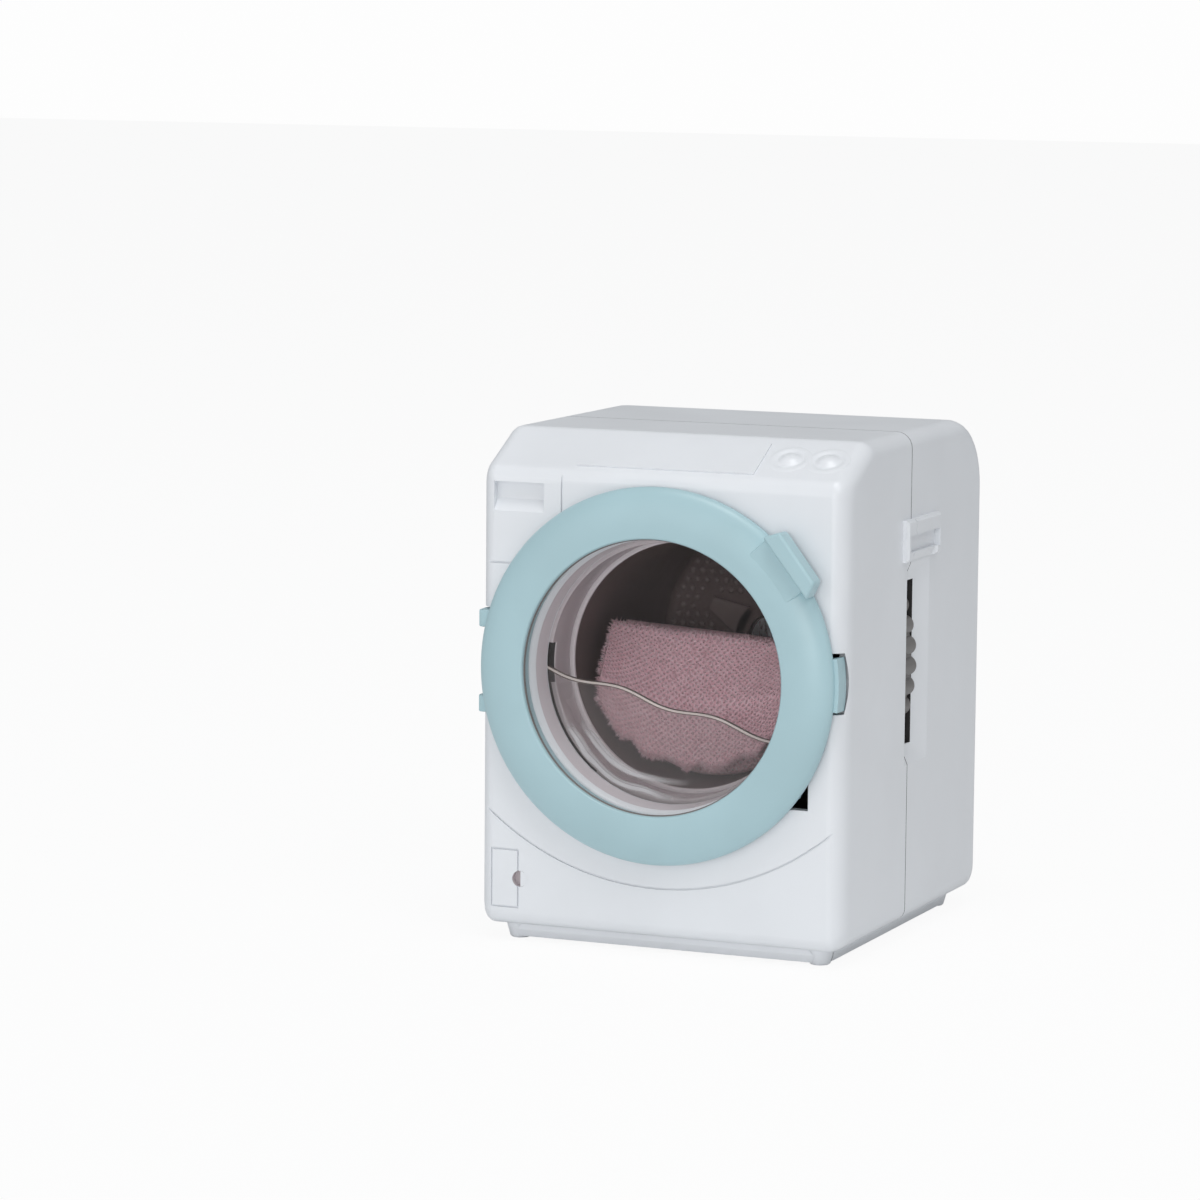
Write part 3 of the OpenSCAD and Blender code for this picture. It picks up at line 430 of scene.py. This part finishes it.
def in_notch(point):
    """True in the finger notch of the service flap, which gets painted shade."""
    x, depth, z = point.x / MM, point.y / MM - front, point.z / MM
    return math.hypot(x - notch[0], z - notch[1]) < notch_r and near_zero < depth < notch_deep


def in_mouth(point):
    """True on the round wall of the door's mouth."""
    radius = math.hypot(point.x / MM, point.z / MM - axis)
    depth = point.y / MM - front
    return radius < mouth_r and -near_zero < depth < mouth_deep


print("walls, mouth, seam, slot and notch told apart")


# %% Helper: dress a CAD node
def dressed(node, name, body, material, leave_out=None, sharp=28):
    """A smooth merged copy of a CAD node; its shells also get painted shade, dark and grey."""
    bm = bmesh.new()
    bm.from_mesh(nodes[node].data)
    bmesh.ops.remove_doubles(bm, verts=bm.verts, dist=1e-6)
    if leave_out:
        gone = [f for f in bm.faces if all(leave_out(v.co) for v in f.verts)]
        bmesh.ops.delete(bm, geom=gone, context="FACES")
    extra = ()
    if "shell" in node:
        # painted shade: near black inside the casing, in its seam and slot, and grey in the flap's
        # notch
        extra = ("inside", "collar")
        bm.normal_update()
        for face in bm.faces:
            middle = face.calc_center_median()
            face.material_index = int(is_shaded(middle, face.normal)) or 2 * in_notch(middle)
    return made_piece(name, bm, body, material, (node,), sharp, extra)


# %% Casing, wheel, screws and pins
dressed("front_shell", "front_case", "casing", "casing", in_mouth)
dressed("rear_shell", "rear_case", "casing", "casing")
dressed("base_plate", "plinth", "casing", "casing")
dressed("thumb_wheel", "scalloped_wheel", "drum", "wheel", sharp=40)
for node in ("axle_screw", "axle_washer", "case_screws", "collar_screws", "base_screws"):
    dressed(node, "plated_" + node, "casing", "steel")
dressed("hinge_pins", "plated_hinge_pins", "door", "steel")
dressed("drag_ring", "rubber_drag_ring", "drum", "soft_rubber")

# %% [markdown]
# ## Turned parts
# The ring, pane, collar, lining and drum are all turned about the drum's axis. Each is a closed
# half section, spun once round. Its corners are rounded on the section with a vertex bevel before
# the spin, which is how a turner would break the edges.


# %% Helper: turn a half section
def arc(centre, radius, start, end, steps):
    """Points on an arc of the section: distance from the axis and distance out."""
    return [(centre[0] + radius * math.cos(math.radians(start + (end - start) * i / steps)),
             centre[1] + radius * math.sin(math.radians(start + (end - start) * i / steps)))
            for i in range(steps + 1)]


def turned_part(section, steps=160, start=0.0, sweep=360.0, soften=()):
    """A bmesh turned from points (distance from the axis, distance out).

    soften gives the size of the rounding at a corner, by the corner's number.
    """
    bm = bmesh.new()
    corners = [bm.verts.new(place(math.cos(math.radians(start)) * r,
                                  math.sin(math.radians(start)) * r, out)) for r, out in section]
    bm.faces.new(corners)
    for corner, size in dict(soften).items():
        bmesh.ops.bevel(bm, geom=[corners[corner]], offset=size * MM, segments=4, profile=0.5,
                        affect="VERTICES", material=-1)
    loop = list(bm.edges)
    cap = list(bm.faces)
    whole = abs(sweep) >= 360
    if whole:
        bmesh.ops.delete(bm, geom=cap, context="FACES_ONLY")
    bmesh.ops.spin(bm, geom=loop if whole else cap + loop, cent=place(0, 0, 0), axis=(0, -1, 0),
                   angle=math.radians(sweep), steps=steps, use_merge=whole)
    bmesh.ops.remove_doubles(bm, verts=bm.verts, dist=1e-7)
    if not whole:
        rims = [e for e in bm.edges if len(e.link_faces) == 1]
        if rims:
            bmesh.ops.holes_fill(bm, edges=rims)
    bmesh.ops.recalc_face_normals(bm, faces=bm.faces)
    return bm


# %% [markdown]
# The ring is a fat turquoise moulding with a domed front that runs out to a thin edge, and a lip
# round the pane. The arc steps follow the dome of the CAD section. A dark rim of painted shade
# fills the corner between lip and pane, where the photograph shows a dark line.

# %% Door ring
ring_r = 24.1
ring_section = ([(18.7, 0.15), (22.7, 0.15), (ring_r, 0.9)]
                + [(19.2 + 4.9 * math.cos(math.radians(a)), 1 + 2 * math.sin(math.radians(a)))
                   for a in range(0, 91, 5)]
                + arc((18.0, 2.6), 0.4, 90, 180, 5)[1:] + [(17.6, 2.1), (18.7, 2.1)])
made_piece("turned_ring", turned_part(ring_section, 192), "door", "ring",
           ("door_ring",), sharp=35)
made_piece("round_pane", turned_part(
    [(0.0, 2.1), (18.7, 2.1), (18.7, 1.1), (0.0, 1.1)], 128), "door", "clear",
    ("door_window",))
# painted shade: a dark rim in the corner between the ring's lip and the pane
made_piece("pane_rim_shade", turned_part(
    [(17.46, 2.1), (17.62, 2.1), (17.62, 2.40), (17.54, 2.34)], 160), "door",
    "wheel", sharp=40)
made_piece("pane_retainer", turned_part(
    [(17.9, 1.1), (18.7, 1.1), (18.7, 0.15), (17.9, 0.15)], 128), "door", "ring",
    ("window_retainer",))

# %% [markdown]
# The handle is a flat tongue on the ring with a bar across its end. Both are prisms: an outline is
# extruded forward and its edges are bevelled. The same helper makes the door's hook and the flush
# fill in the right half of the flap's notch. The knuckles are extruded upwards instead, and the
# latch tab is a short turned arc.


# %% Helpers: extrude, bevel, prism
def extruded(bm, base, by):
    """Closes a ring of vertices with a face, extrudes it by a vector and gives the moved ring."""
    grown = bmesh.ops.extrude_face_region(bm, geom=[bm.faces.new(base)])["geom"]
    moved = [g for g in grown if isinstance(g, bmesh.types.BMVert)]
    bmesh.ops.translate(bm, verts=moved, vec=by)
    return moved


def broken_edges(bm, edges, size, segments):
    """Rounds edges by a size in millimetres."""
    bmesh.ops.bevel(bm, geom=list(edges), offset=size * MM, segments=segments, profile=0.5,
                    affect="EDGES", material=-1)


def prism(bm, outline, low, high, turn=0.0, bevel=0.0, front_only=False, segments=3):
    """Adds a prism on an outline (across, up) about the axis, between two distances out."""
    c, s = math.cos(math.radians(turn)), math.sin(math.radians(turn))
    base = [bm.verts.new(place(c * x - s * y, s * x + c * y, low)) for x, y in outline]
    moved = extruded(bm, base, Vector((0, (low - high) * MM, 0)))
    faces = {f for v in base + moved for f in v.link_faces}
    bmesh.ops.recalc_face_normals(bm, faces=list(faces))
    if bevel and front_only:
        edges = {e for v in moved for e in v.link_edges
                 if all(abs(w.co.y / MM - (front - high)) < 1e-4 for w in e.verts)}
        broken_edges(bm, edges, bevel, segments)
    elif bevel:
        broken_edges(bm, {e for v in base + moved for e in v.link_edges}, bevel, segments)
    return base, moved


# %% Handle, knuckles, latch and hook
bm = bmesh.new()
prism(bm, [(20.1, -3.3), (24.0, -3.3), (25.4, -2.6), (25.4, 3.7), (24.0, 4.6), (20.1, 4.6)],
      0.6, 2.85, 39, 0.25, True)
made_piece("handle_tongue", bm, "door", "ring")
bm = bmesh.new()
prism(bm, [(23.6, -4.6), (25.8, -3.6), (26.0, 4.1), (23.7, 5.0)], 1.2, 3.98, 39, 0.4, segments=4)
made_piece("handle_bar", bm, "door", "ring")

hinge = Vector((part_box("hinge_pins")[0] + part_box("hinge_pins")[1])) / 2 / MM
knuckle_r, knuckle_h, knuckle_apart = 1.7, 2.2, 11.0
outline = [(knuckle_r * math.cos(math.radians(a)), knuckle_r * math.sin(math.radians(a)))
           for a in range(0, 181, 12)]
outline += [(-1.55, -1.7), (-1.35, -2.12), (-0.95, -2.3), (knuckle_r, -2.3)]
bm = bmesh.new()
for z in (-knuckle_apart / 2, knuckle_apart / 2):
    base = [bm.verts.new(Vector((hinge.x + x, hinge.y + y, hinge.z + z - knuckle_h / 2)) * MM)
            for x, y in outline]
    moved = extruded(bm, base, (0, 0, knuckle_h * MM))
    broken_edges(bm, {e for v in base + moved for e in v.link_edges
                      if abs(e.verts[0].co.z - e.verts[1].co.z) < 1e-7}, 0.18, 2)
bmesh.ops.recalc_face_normals(bm, faces=bm.faces)
made_piece("door_knuckles", bm, "door", "ring")

made_piece("latch_tab", turned_part(
    [(23.05, -1.6), (24.65, -1.6), (24.65, 1.0), (23.05, 1.0)], 12, start=-7.0, sweep=15.86),
    "door", "ring")
bm = bmesh.new()
prism(bm, [(17.2, -14.5), (19.0, -14.5), (19.0, -11.9), (17.2, -11.9)], -1.4, 0.45, 0, 0.2)
made_piece("door_hook", bm, "door", "ring")

bm = bmesh.new()
prism(bm, [(notch[0] - 0.10 + 1.18 * math.cos(math.radians(a)),
            notch[1] - axis + 1.04 * math.sin(math.radians(a))) for a in range(-80, 81, 10)],
      -0.7, 0.0)
made_piece("flap_notch_fill", bm, "casing", "casing")

# %% [markdown]
# ## Mouth, collar and drum
# Behind the pane the eye meets a stack of rings: the white lining of the mouth and its white wall,
# coloured lilac grey as painted shade, the grey collar with the slot for the water plate, and the
# dark drum, whose lip is pale as a painted highlight. The slot shows as a dark sliver, so two thin
# bands of painted shade stand for its mouth and for the line beside the plate.

# %% Mouth lining and collar
made_piece("mouth_lining", turned_part(
    [(18.9, 0.02), (18.05, 0.02), (17.62, -0.22), (17.3, -0.9), (18.95, -0.9)], 160),
    "casing", "casing", sharp=60)
# the mouth wall is white plastic; its lilac grey finish is painted shade
made_piece("mouth_wall", turned_part(
    [(17.32, -0.9), (17.0, -3.4), (17.0, -3.8), (18.95, -3.8), (18.95, -0.9)], 160,
    soften={2: 0.2}), "casing", "wall", sharp=40)
made_piece("collar_ring", turned_part(
    [(16.5, -5.1), (17.75, -5.1), (17.75, -9.9), (16.5, -9.9)], 160, soften={0: 0.25, 3: 0.2}),
    "casing", "collar", ("tub_collar",), sharp=40)
made_piece("collar_block", turned_part(
    [(16.5, -3.85), (19.6, -3.85), (19.6, -9.85), (16.52, -9.85)], 90, start=9.5, sweep=161,
    soften={0: 0.15}), "casing", "collar", sharp=40)
# painted shade: two thin near-black bands for the slot's mouth and the line beside the plate
for name, radii, start, sweep in (("slot_mouth_shade", (16.62, 17.6), 170.6, 18.0),
                                  ("slot_line_shade", (17.2, 17.55), 188.5, 44.0)):
    made_piece(name, turned_part(
        [(radii[0], -5.12), (radii[1], -5.12), (radii[1], -5.06), (radii[0], -5.06)], 24,
        start=start, sweep=sweep), "casing", "inside", sharp=40)
ear_at, ear_r = 20.6, 2.2
bm = bmesh.new()
for angle in (50, 130):
    prism(bm, [(ear_at * math.cos(math.radians(angle)) + ear_r * math.cos(math.radians(a)),
                ear_at * math.sin(math.radians(angle)) + ear_r * math.sin(math.radians(a)))
               for a in range(0, 360, 15)], -6.5, -3.85, 0, 0.15)
made_piece("collar_ears", bm, "casing", "collar")

# %% [markdown]
# The drum is a deep dark cup with a hub behind it. Its back wall carries a star that the axle screw
# sinks into, and fields of small round studs between the star's arms.

# %% Drum cup
floor_out = -40.4
drum_section = ([(16.0, -10.5), (17.2, -10.5), (17.2, -41.8), (3.6, -41.8), (3.6, -45.4),
                 (1.55, -45.4), (1.55, floor_out), (3.2, floor_out), (3.2, -39.2), (5.0, -39.2),
                 (5.0, floor_out)]
                + arc((14.2, -39.2), 1.2, -90, 0, 6))
made_piece("drum_cup", turned_part(drum_section, 160), "drum", "drum", ("drum",),
           sharp=40)
# painted highlight: the dark drum's rounded lip in a pale finish
made_piece("drum_lip_highlight", turned_part(
    [(15.98, -10.1), (17.2, -10.1), (17.2, -10.5), (15.98, -10.5)], 160,
    soften={0: 0.18, 1: 0.15}), "drum", "lip", sharp=60)
made_piece("drum_shoulder", turned_part(
    [(17.0, -27.2), (18.2, -27.2), (18.2, -28.4), (17.0, -28.4)], 96), "drum", "drum")

# %% Star arms
star_turn, tip, root = 154, 9.7, 3.6
root_half, tip_half = 2.4, 0.9
bm = bmesh.new()
for k in range(4):
    prism(bm, [(root, -root_half), (tip, -tip_half), (tip, tip_half), (root, root_half)],
          floor_out - 0.1, floor_out + 1.2, star_turn + 90 * k, 0.3, True)
# painted light: the star and the studs use a lighter copy of the drum's plastic
made_piece("star_arms", bm, "drum", "stud")

# %% Studs between the arms
pitch, row_step, stud_r = 1.38, 0.87, 0.46
field_in, field_out, rows_each_way = 6.3, 14.8, 14
studs = 0
bm = bmesh.new()
for row in range(-rows_each_way, rows_each_way + 1):
    for column in range(-rows_each_way, rows_each_way + 1):
        x = (column + 0.5 * (row % 2)) * pitch
        y = row * pitch * row_step
        r, polar = math.hypot(x, y), math.degrees(math.atan2(y, x))
        off = (polar - star_turn + 45) % 90 - 45
        near = r * math.cos(math.radians(off))
        aside = abs(r * math.sin(math.radians(off)))
        arm = root_half - (near - root) / (tip - root) * (root_half - tip_half)
        if r > field_out or r < field_in or (near < tip + 1.3 and aside < arm + 1.1):
            continue
        ball = bmesh.ops.create_uvsphere(bm, u_segments=10, v_segments=6,
                                         radius=stud_r * MM)["verts"]
        bmesh.ops.scale(bm, vec=(1, 0.8, 1), verts=ball)
        bmesh.ops.translate(bm, vec=place(x, y, floor_out + 0.02), verts=ball)
        studs += 1
made_piece("drum_studs", bm, "drum", "stud", sharp=80)
print("studs:", studs)

# %% [markdown]
# ## Water plate
# The water is a clear plate with a wavy top edge. It is one outline, held level and then leaned
# over as in the photograph, and extruded through its thickness. The wavy edge is rounded by a bevel
# of five bands on either side. Counted from the flat face, the second and third get a painted
# highlight and the others painted shade, so each face takes its finish from its tilt. A skirt runs
# back round the collar, where the drum drags it round.

# %% Water plate
lean, drop, wave_h, wave_len = -13.1, 4.2, 0.42, 13.4
skirt_in, skirt_out, corner_r, from_angle = 17.85, 18.7, 17.2, 197.0
wave_steps, low_steps = 80, 90
plate_ahead, plate_behind, skirt_end, skirt_sweep = -3.95, -4.95, -12.1, 146
span = math.sqrt(corner_r ** 2 - drop ** 2) - 0.02
wave = []
for i in range(wave_steps + 1):
    x = -span + 2 * span * i / wave_steps
    wave.append((x, -drop + wave_h * math.cos(2 * math.pi * (x + wave_len / 2 - 0.5) / wave_len)))
right_arc = [(corner_r * math.cos(math.radians(a)), corner_r * math.sin(math.radians(a)))
             for a in (-15.0, -16.0)]
low_arc = [(skirt_out * math.cos(math.radians(-17 - skirt_sweep * i / low_steps)),
            skirt_out * math.sin(math.radians(-17 - skirt_sweep * i / low_steps)))
           for i in range(low_steps + 1)]
left_arc = [(-x, y) for x, y in reversed(right_arc)]
bm = bmesh.new()
behind, ahead = prism(bm, wave + right_arc + low_arc + left_arc, plate_behind, plate_ahead, lean)
broken_edges(bm, [bm.edges.get((side[i], side[i + 1])) for side in (behind, ahead)
                  for i in range(wave_steps)], 0.46, 5)
bm.normal_update()
# each band of the rounded edge gets a painted highlight or painted shade by its tilt
for face in bm.faces:
    tilt = abs(face.normal.y)
    face.material_index = 0 if tilt > 0.999 else 1 if 0.6 < tilt < 0.95 else 2
made_piece("water_sheet", bm, "water", "plate", ("water_plate",), sharp=50,
           extra=("edge_highlight", "edge_shade"))
made_piece("water_skirt", turned_part(
    [(skirt_in, plate_behind), (skirt_out, plate_behind), (skirt_out, skirt_end),
     (skirt_in, skirt_end)], low_steps, start=from_angle + lean, sweep=skirt_sweep),
    "water", "plate")

# %% [markdown]
# ## Feet and buttons
# Four tapered feet stand at the corners of the plinth. The two buttons are shallow domes in their
# moats on the control slope.

# %% Feet
foot_r, foot_tip_r, foot_h = 1.9, 1.3, 2.2
lo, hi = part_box("feet")
bm = bmesh.new()
for x in (lo.x + foot_r * MM, hi.x - foot_r * MM):
    for y in (lo.y + foot_r * MM, hi.y - foot_r * MM):
        made = bmesh.ops.create_cone(bm, cap_ends=True, segments=48, radius1=foot_tip_r * MM,
                                     radius2=foot_r * MM, depth=foot_h * MM)["verts"]
        bmesh.ops.translate(bm, vec=(x, y, foot_h / 2 * MM), verts=made)
        broken_edges(bm, {e for v in made for e in v.link_edges
                          if all(w.co.z < 1e-7 for w in e.verts)}, 0.3, 3)
made_piece("tapered_feet", bm, "casing", "casing", ("feet",))

# %% Buttons
slope_foot = Vector((0, front, casing_top - slope_drop)) * MM
slope_frame = Matrix.Translation(slope_foot) @ Matrix.Rotation(
    math.atan2(slope_drop, slope_depth), 4, "X")
button_line = [(2.85, -0.3), (2.85, 0.0), (2.6, 0.05), (2.3, 0.07), (2.1, 0.03), (1.85, -0.07),
               (1.6, -0.08), (1.35, 0.05), (1.05, 0.22), (0.7, 0.36), (0.35, 0.43), (0.0, 0.45),
               (0.0, -0.3)]
up_slope = 5.6
bm = bmesh.new()
for x in (15.5, 20.6):
    spot = slope_frame @ Matrix.Translation(Vector((x, up_slope, 0)) * MM)
    line = [bm.verts.new(spot @ (Vector((r, 0, h)) * MM)) for r, h in button_line]
    edges = [bm.edges.new(pair) for pair in zip(line, line[1:] + line[:1])]
    bmesh.ops.spin(bm, geom=edges, cent=spot.to_translation(), axis=spot.to_3x3() @ Vector(
        (0, 0, 1)), angle=2 * math.pi, steps=48, use_merge=True)
bmesh.ops.remove_doubles(bm, verts=bm.verts, dist=1e-7)
bmesh.ops.dissolve_degenerate(bm, edges=bm.edges, dist=1e-8)
bmesh.ops.recalc_face_normals(bm, faces=bm.faces)
made_piece("button_domes", bm, "casing", "casing", sharp=60)

# %% [markdown]
# ## Towel
# The towel is a strip of terry cloth, folded back and forth into four layers and pushed into the
# drum. The front layer leans back, its loose end just clears the drum, and its top is a soft fold.
# A grid is bent along that path, so its own UV map follows the cloth, and Solidify gives the pile
# its thickness.

# %% Towel path
towel_w, thick = 26.8, 1.5
front_at, rise = 12.0, 3.5
drum_in_r, drum_taper, drum_from, drum_deep, spare = 16.0, 0.6, 10.1, 30.3, 0.35


def drum_floor(x, deep):
    """Height of the drum's inside under the towel."""
    reach = drum_in_r - drum_taper * (deep - drum_from) / drum_deep - spare
    return -math.sqrt(reach * reach - x * x)


def towel_line(x):
    """The middle of the cloth at x: (depth behind the front, up from the axis)."""
    high, half = rise - 0.056 * x, thick / 2
    low = [drum_floor(x, d) for d in (13.0, 18.0, 23.2)]
    top = high - half
    # the loose end and the front layer, then the soft fold at its top
    line = [(front_at + half, low[0] + 1.4 + half), (front_at + half + 0.25, low[0] / 3)]
    line += [(16.35 - 0.7 * math.cos(math.radians(a)) + 0.75, top - 0.75 + 0.75 * math.sin(
        math.radians(a))) for a in range(0, 181, 30)]
    # down behind it, and round the fold on the drum's floor
    line += [(17.95, low[1] + half + 1.0)]
    line += [(18.75 - 0.8 * math.cos(math.radians(a)), low[1] + half + 0.85 - 0.8 * math.sin(
        math.radians(a))) for a in range(30, 180, 30)]
    # up again, over the wide fold at the back, and down to the floor
    line += [(19.55, top - 2.4)]
    line += [(21.4 - 1.85 * math.cos(math.radians(a)), top - 2.2 + 1.8 * math.sin(
        math.radians(a))) for a in range(0, 181, 30)]
    line += [(23.25, low[2] + half + 0.1)]
    return line


def spread(line, count):
    """The same line as evenly spaced points, with the distance along it."""
    steps = [math.dist(a, b) for a, b in zip(line, line[1:])]
    total, out = sum(steps), []
    for i in range(count):
        left = total * i / (count - 1)
        for k, step in enumerate(steps):
            if left <= step + 1e-9 or k == len(steps) - 1:
                t = min(left / step, 1.0)
                a, b = line[k], line[k + 1]
                out.append((a[0] + (b[0] - a[0]) * t, a[1] + (b[1] - a[1]) * t))
                break
            left -= step
    return out, total


# %% Towel cloth
along, across, drawn_in = 150, 72, 0.995
bm = bmesh.new()
bmesh.ops.create_grid(bm, x_segments=across, y_segments=along, size=0.5)
uv = bm.loops.layers.uv.new("cloth")
rows = sorted({round(v.co.y, 5) for v in bm.verts})
columns = sorted({round(v.co.x, 5) for v in bm.verts})
paths, lengths = {}, []
for column in columns:
    x = column * towel_w * drawn_in
    points, total = spread(towel_line(x), len(rows))
    paths[column] = (x, points)
    lengths.append(total)
length = sum(lengths) / len(lengths)
for face in bm.faces:
    for loop in face.loops:
        loop[uv].uv = ((loop.vert.co.x + 0.5) * towel_w, (loop.vert.co.y + 0.5) * length)
print(f"cloth length {length:.1f} mm, {len(bm.faces)} faces")

# %% [markdown]
# Cloth never lies in straight lines. A sum of a few sines moves every point a little, and the loose
# end waves. The pile stands on the same points later, so this is a helper.

# %% Towel ripples
rng = random.Random(7)
ripple = [(rng.uniform(0.35, 1.1), rng.uniform(0.2, 0.9), rng.uniform(0, 6.3), rng.uniform(0.3, 1))
          for _ in range(9)]


def rippled(x, depth, up, s):
    """A point of the cloth, s along it from its loose end, moved by the ripples."""
    sway = sum(m * math.sin(a * x + b * s + c) for a, b, c, m in ripple) / len(ripple)
    edge_soft = 0.5 * math.exp(-s / 1.5) * math.sin(1.3 * x + 0.8 * math.sin(0.7 * x))
    return place(x + 0.25 * sway, up + 0.20 * sway + edge_soft, -(depth + 0.30 * sway))


row_of = {value: i for i, value in enumerate(rows)}
for vert in bm.verts:
    x, points = paths[round(vert.co.x, 5)]
    i = row_of[round(vert.co.y, 5)]
    vert.co = rippled(x, *points[i], i / (len(rows) - 1) * length)
bmesh.ops.recalc_face_normals(bm, faces=bm.faces)
print("ripples:", len(ripple))

# %% [markdown]
# The towel's colour follows its own UV map in millimetres: two crossed sines make rows of small
# hollows, darkened as painted shade, and a fuzzy noise breaks them up and paints light on the tips
# of the loops.


# %% Towel finish and thickness
def towel_recipe(s):
    """Pink terry: painted shade in rows of small hollows, painted light on the loop tips."""
    cloth = s.node("TexCoord", out="UV")
    parts = s.node("SeparateXYZ", {}, {0: cloth}, out="X")
    rows_of = Signal(s.tree, parts.socket.node.outputs["Y"])
    wobble = s.noise(cloth, 1.3, 3.0)
    turn = 2 * math.pi
    a = s.maths("SINE", (parts + wobble * 0.55) * (turn / 0.86))
    b = s.maths("SINE", (rows_of + wobble * 0.5) * (turn / 0.70))
    hollows = (a * b).ramp(0.05, 0.95)
    fuzz = s.noise(cloth, 4.2, 4.0, 0.75)
    patches = s.noise(cloth, 0.35, 2.0)
    hollow_shade_and_depth = hollows * fuzz.ramp(0.2, 0.65)
    pink = patches.ramp(0.3, 0.7).mix(rgb(0.90, 0.49, 0.56), rgb(0.95, 0.55, 0.62))
    # painted light on the tips of the loops
    loops = fuzz.ramp(0.42, 0.66).mix(pink, rgb(0.98, 0.76, 0.81))
    # painted shade in the hollows
    colour = (hollow_shade_and_depth * 0.40).mix(loops, rgb(0.40, 0.17, 0.21))
    return s.node("BsdfPrincipled", {}, {
        "Base Color": colour, "Roughness": 0.95, "Specular IOR Level": 0.15,
        "Sheen Weight": 0.35, "Sheen Roughness": 0.5,
        "Normal": (fuzz - hollow_shade_and_depth * 1.2).bump(0.9, 0.0003)})


finish["towel"] = new_material("pink_terry", towel_recipe)
towel = made_piece("folded_towel", bm, "casing", "towel", ("towel",), sharp=170)
towel.modifiers.clear()
solid = towel.modifiers.new("pile thickness", "SOLIDIFY")
solid.thickness, solid.offset = thick * MM, 0.0

# %% [markdown]
# Terry has a pile of small loops that breaks up its outline. Short pointed tufts stand on the part
# that shows, the front layer and its fold, thickest along the loose end and the sides. Each is a
# three-sided spike, because there are thousands of them.

# %% Towel pile
tufts, seen_share, loose_end = 9000, 0.36, 0.6
bm = bmesh.new()
for k in range(tufts):
    t = rng.random()
    s_at = t * length * seen_share if k % 4 else rng.uniform(0, loose_end)
    at_side = k % 9 == 0
    c_at = rng.uniform(-0.5, 0.5)
    if at_side:
        c_at = rng.choice((-0.5, 0.5)) * rng.uniform(0.985, 1.0)
    x = c_at * towel_w * drawn_in
    column = columns[round((c_at + 0.5) * (len(columns) - 1))]
    points = paths[column][1]
    f = s_at / length * (len(points) - 1)
    i = min(int(f), len(points) - 2)
    (d0, u0), (d1, u1) = points[i], points[i + 1]
    tx, tz = d1 - d0, u1 - u0
    n = math.hypot(tx, tz) or 1
    normal = Vector((0, -tz / n, tx / n))
    foot = rippled(x, d0 + tx * (f - i), u0 + tz * (f - i), s_at)
    foot += normal * (thick / 2 - 0.12) * MM
    lean_to = Vector((rng.gauss(0, 0.5), rng.gauss(0, 0.5), rng.gauss(0, 0.5)))
    if at_side:
        lean_to.x += math.copysign(1.4, c_at)
    if s_at < loose_end:
        lean_to.z -= 1.2
    tall, wide = rng.uniform(0.35, 0.9), rng.uniform(0.05, 0.09)
    tip_at = foot + (normal + lean_to * 0.8).normalized() * tall * MM
    side = normal.cross(Vector((rng.gauss(0, 1), rng.gauss(0, 1), rng.gauss(0, 1)))).normalized()
    other = normal.cross(side)
    ring = [foot + (side * math.cos(q) + other * math.sin(q)) * wide * MM for q in (0, 2.1, 4.2)]
    verts = [bm.verts.new(p) for p in ring + [tip_at]]
    for q in range(3):
        bm.faces.new((verts[q], verts[(q + 1) % 3], verts[3]))
    bm.faces.new((verts[2], verts[1], verts[0]))
bmesh.ops.recalc_face_normals(bm, faces=bm.faces)


def pile_recipe(s):
    where = s.node("TexCoord", out="Object")
    tone = s.noise(where, 900.0, 2.0)
    return s.node("BsdfPrincipled", {}, {
        "Base Color": tone.ramp(0.3, 0.7).mix(rgb(0.78, 0.46, 0.52), rgb(0.96, 0.70, 0.76)),
        "Roughness": 0.95, "Specular IOR Level": 0.1, "Sheen Weight": 0.3})


finish["pile"] = new_material("pink_pile", pile_recipe)
pile = made_piece("towel_pile", bm, "casing", "pile", sharp=170)
length * MM
print("tufts:", tufts)
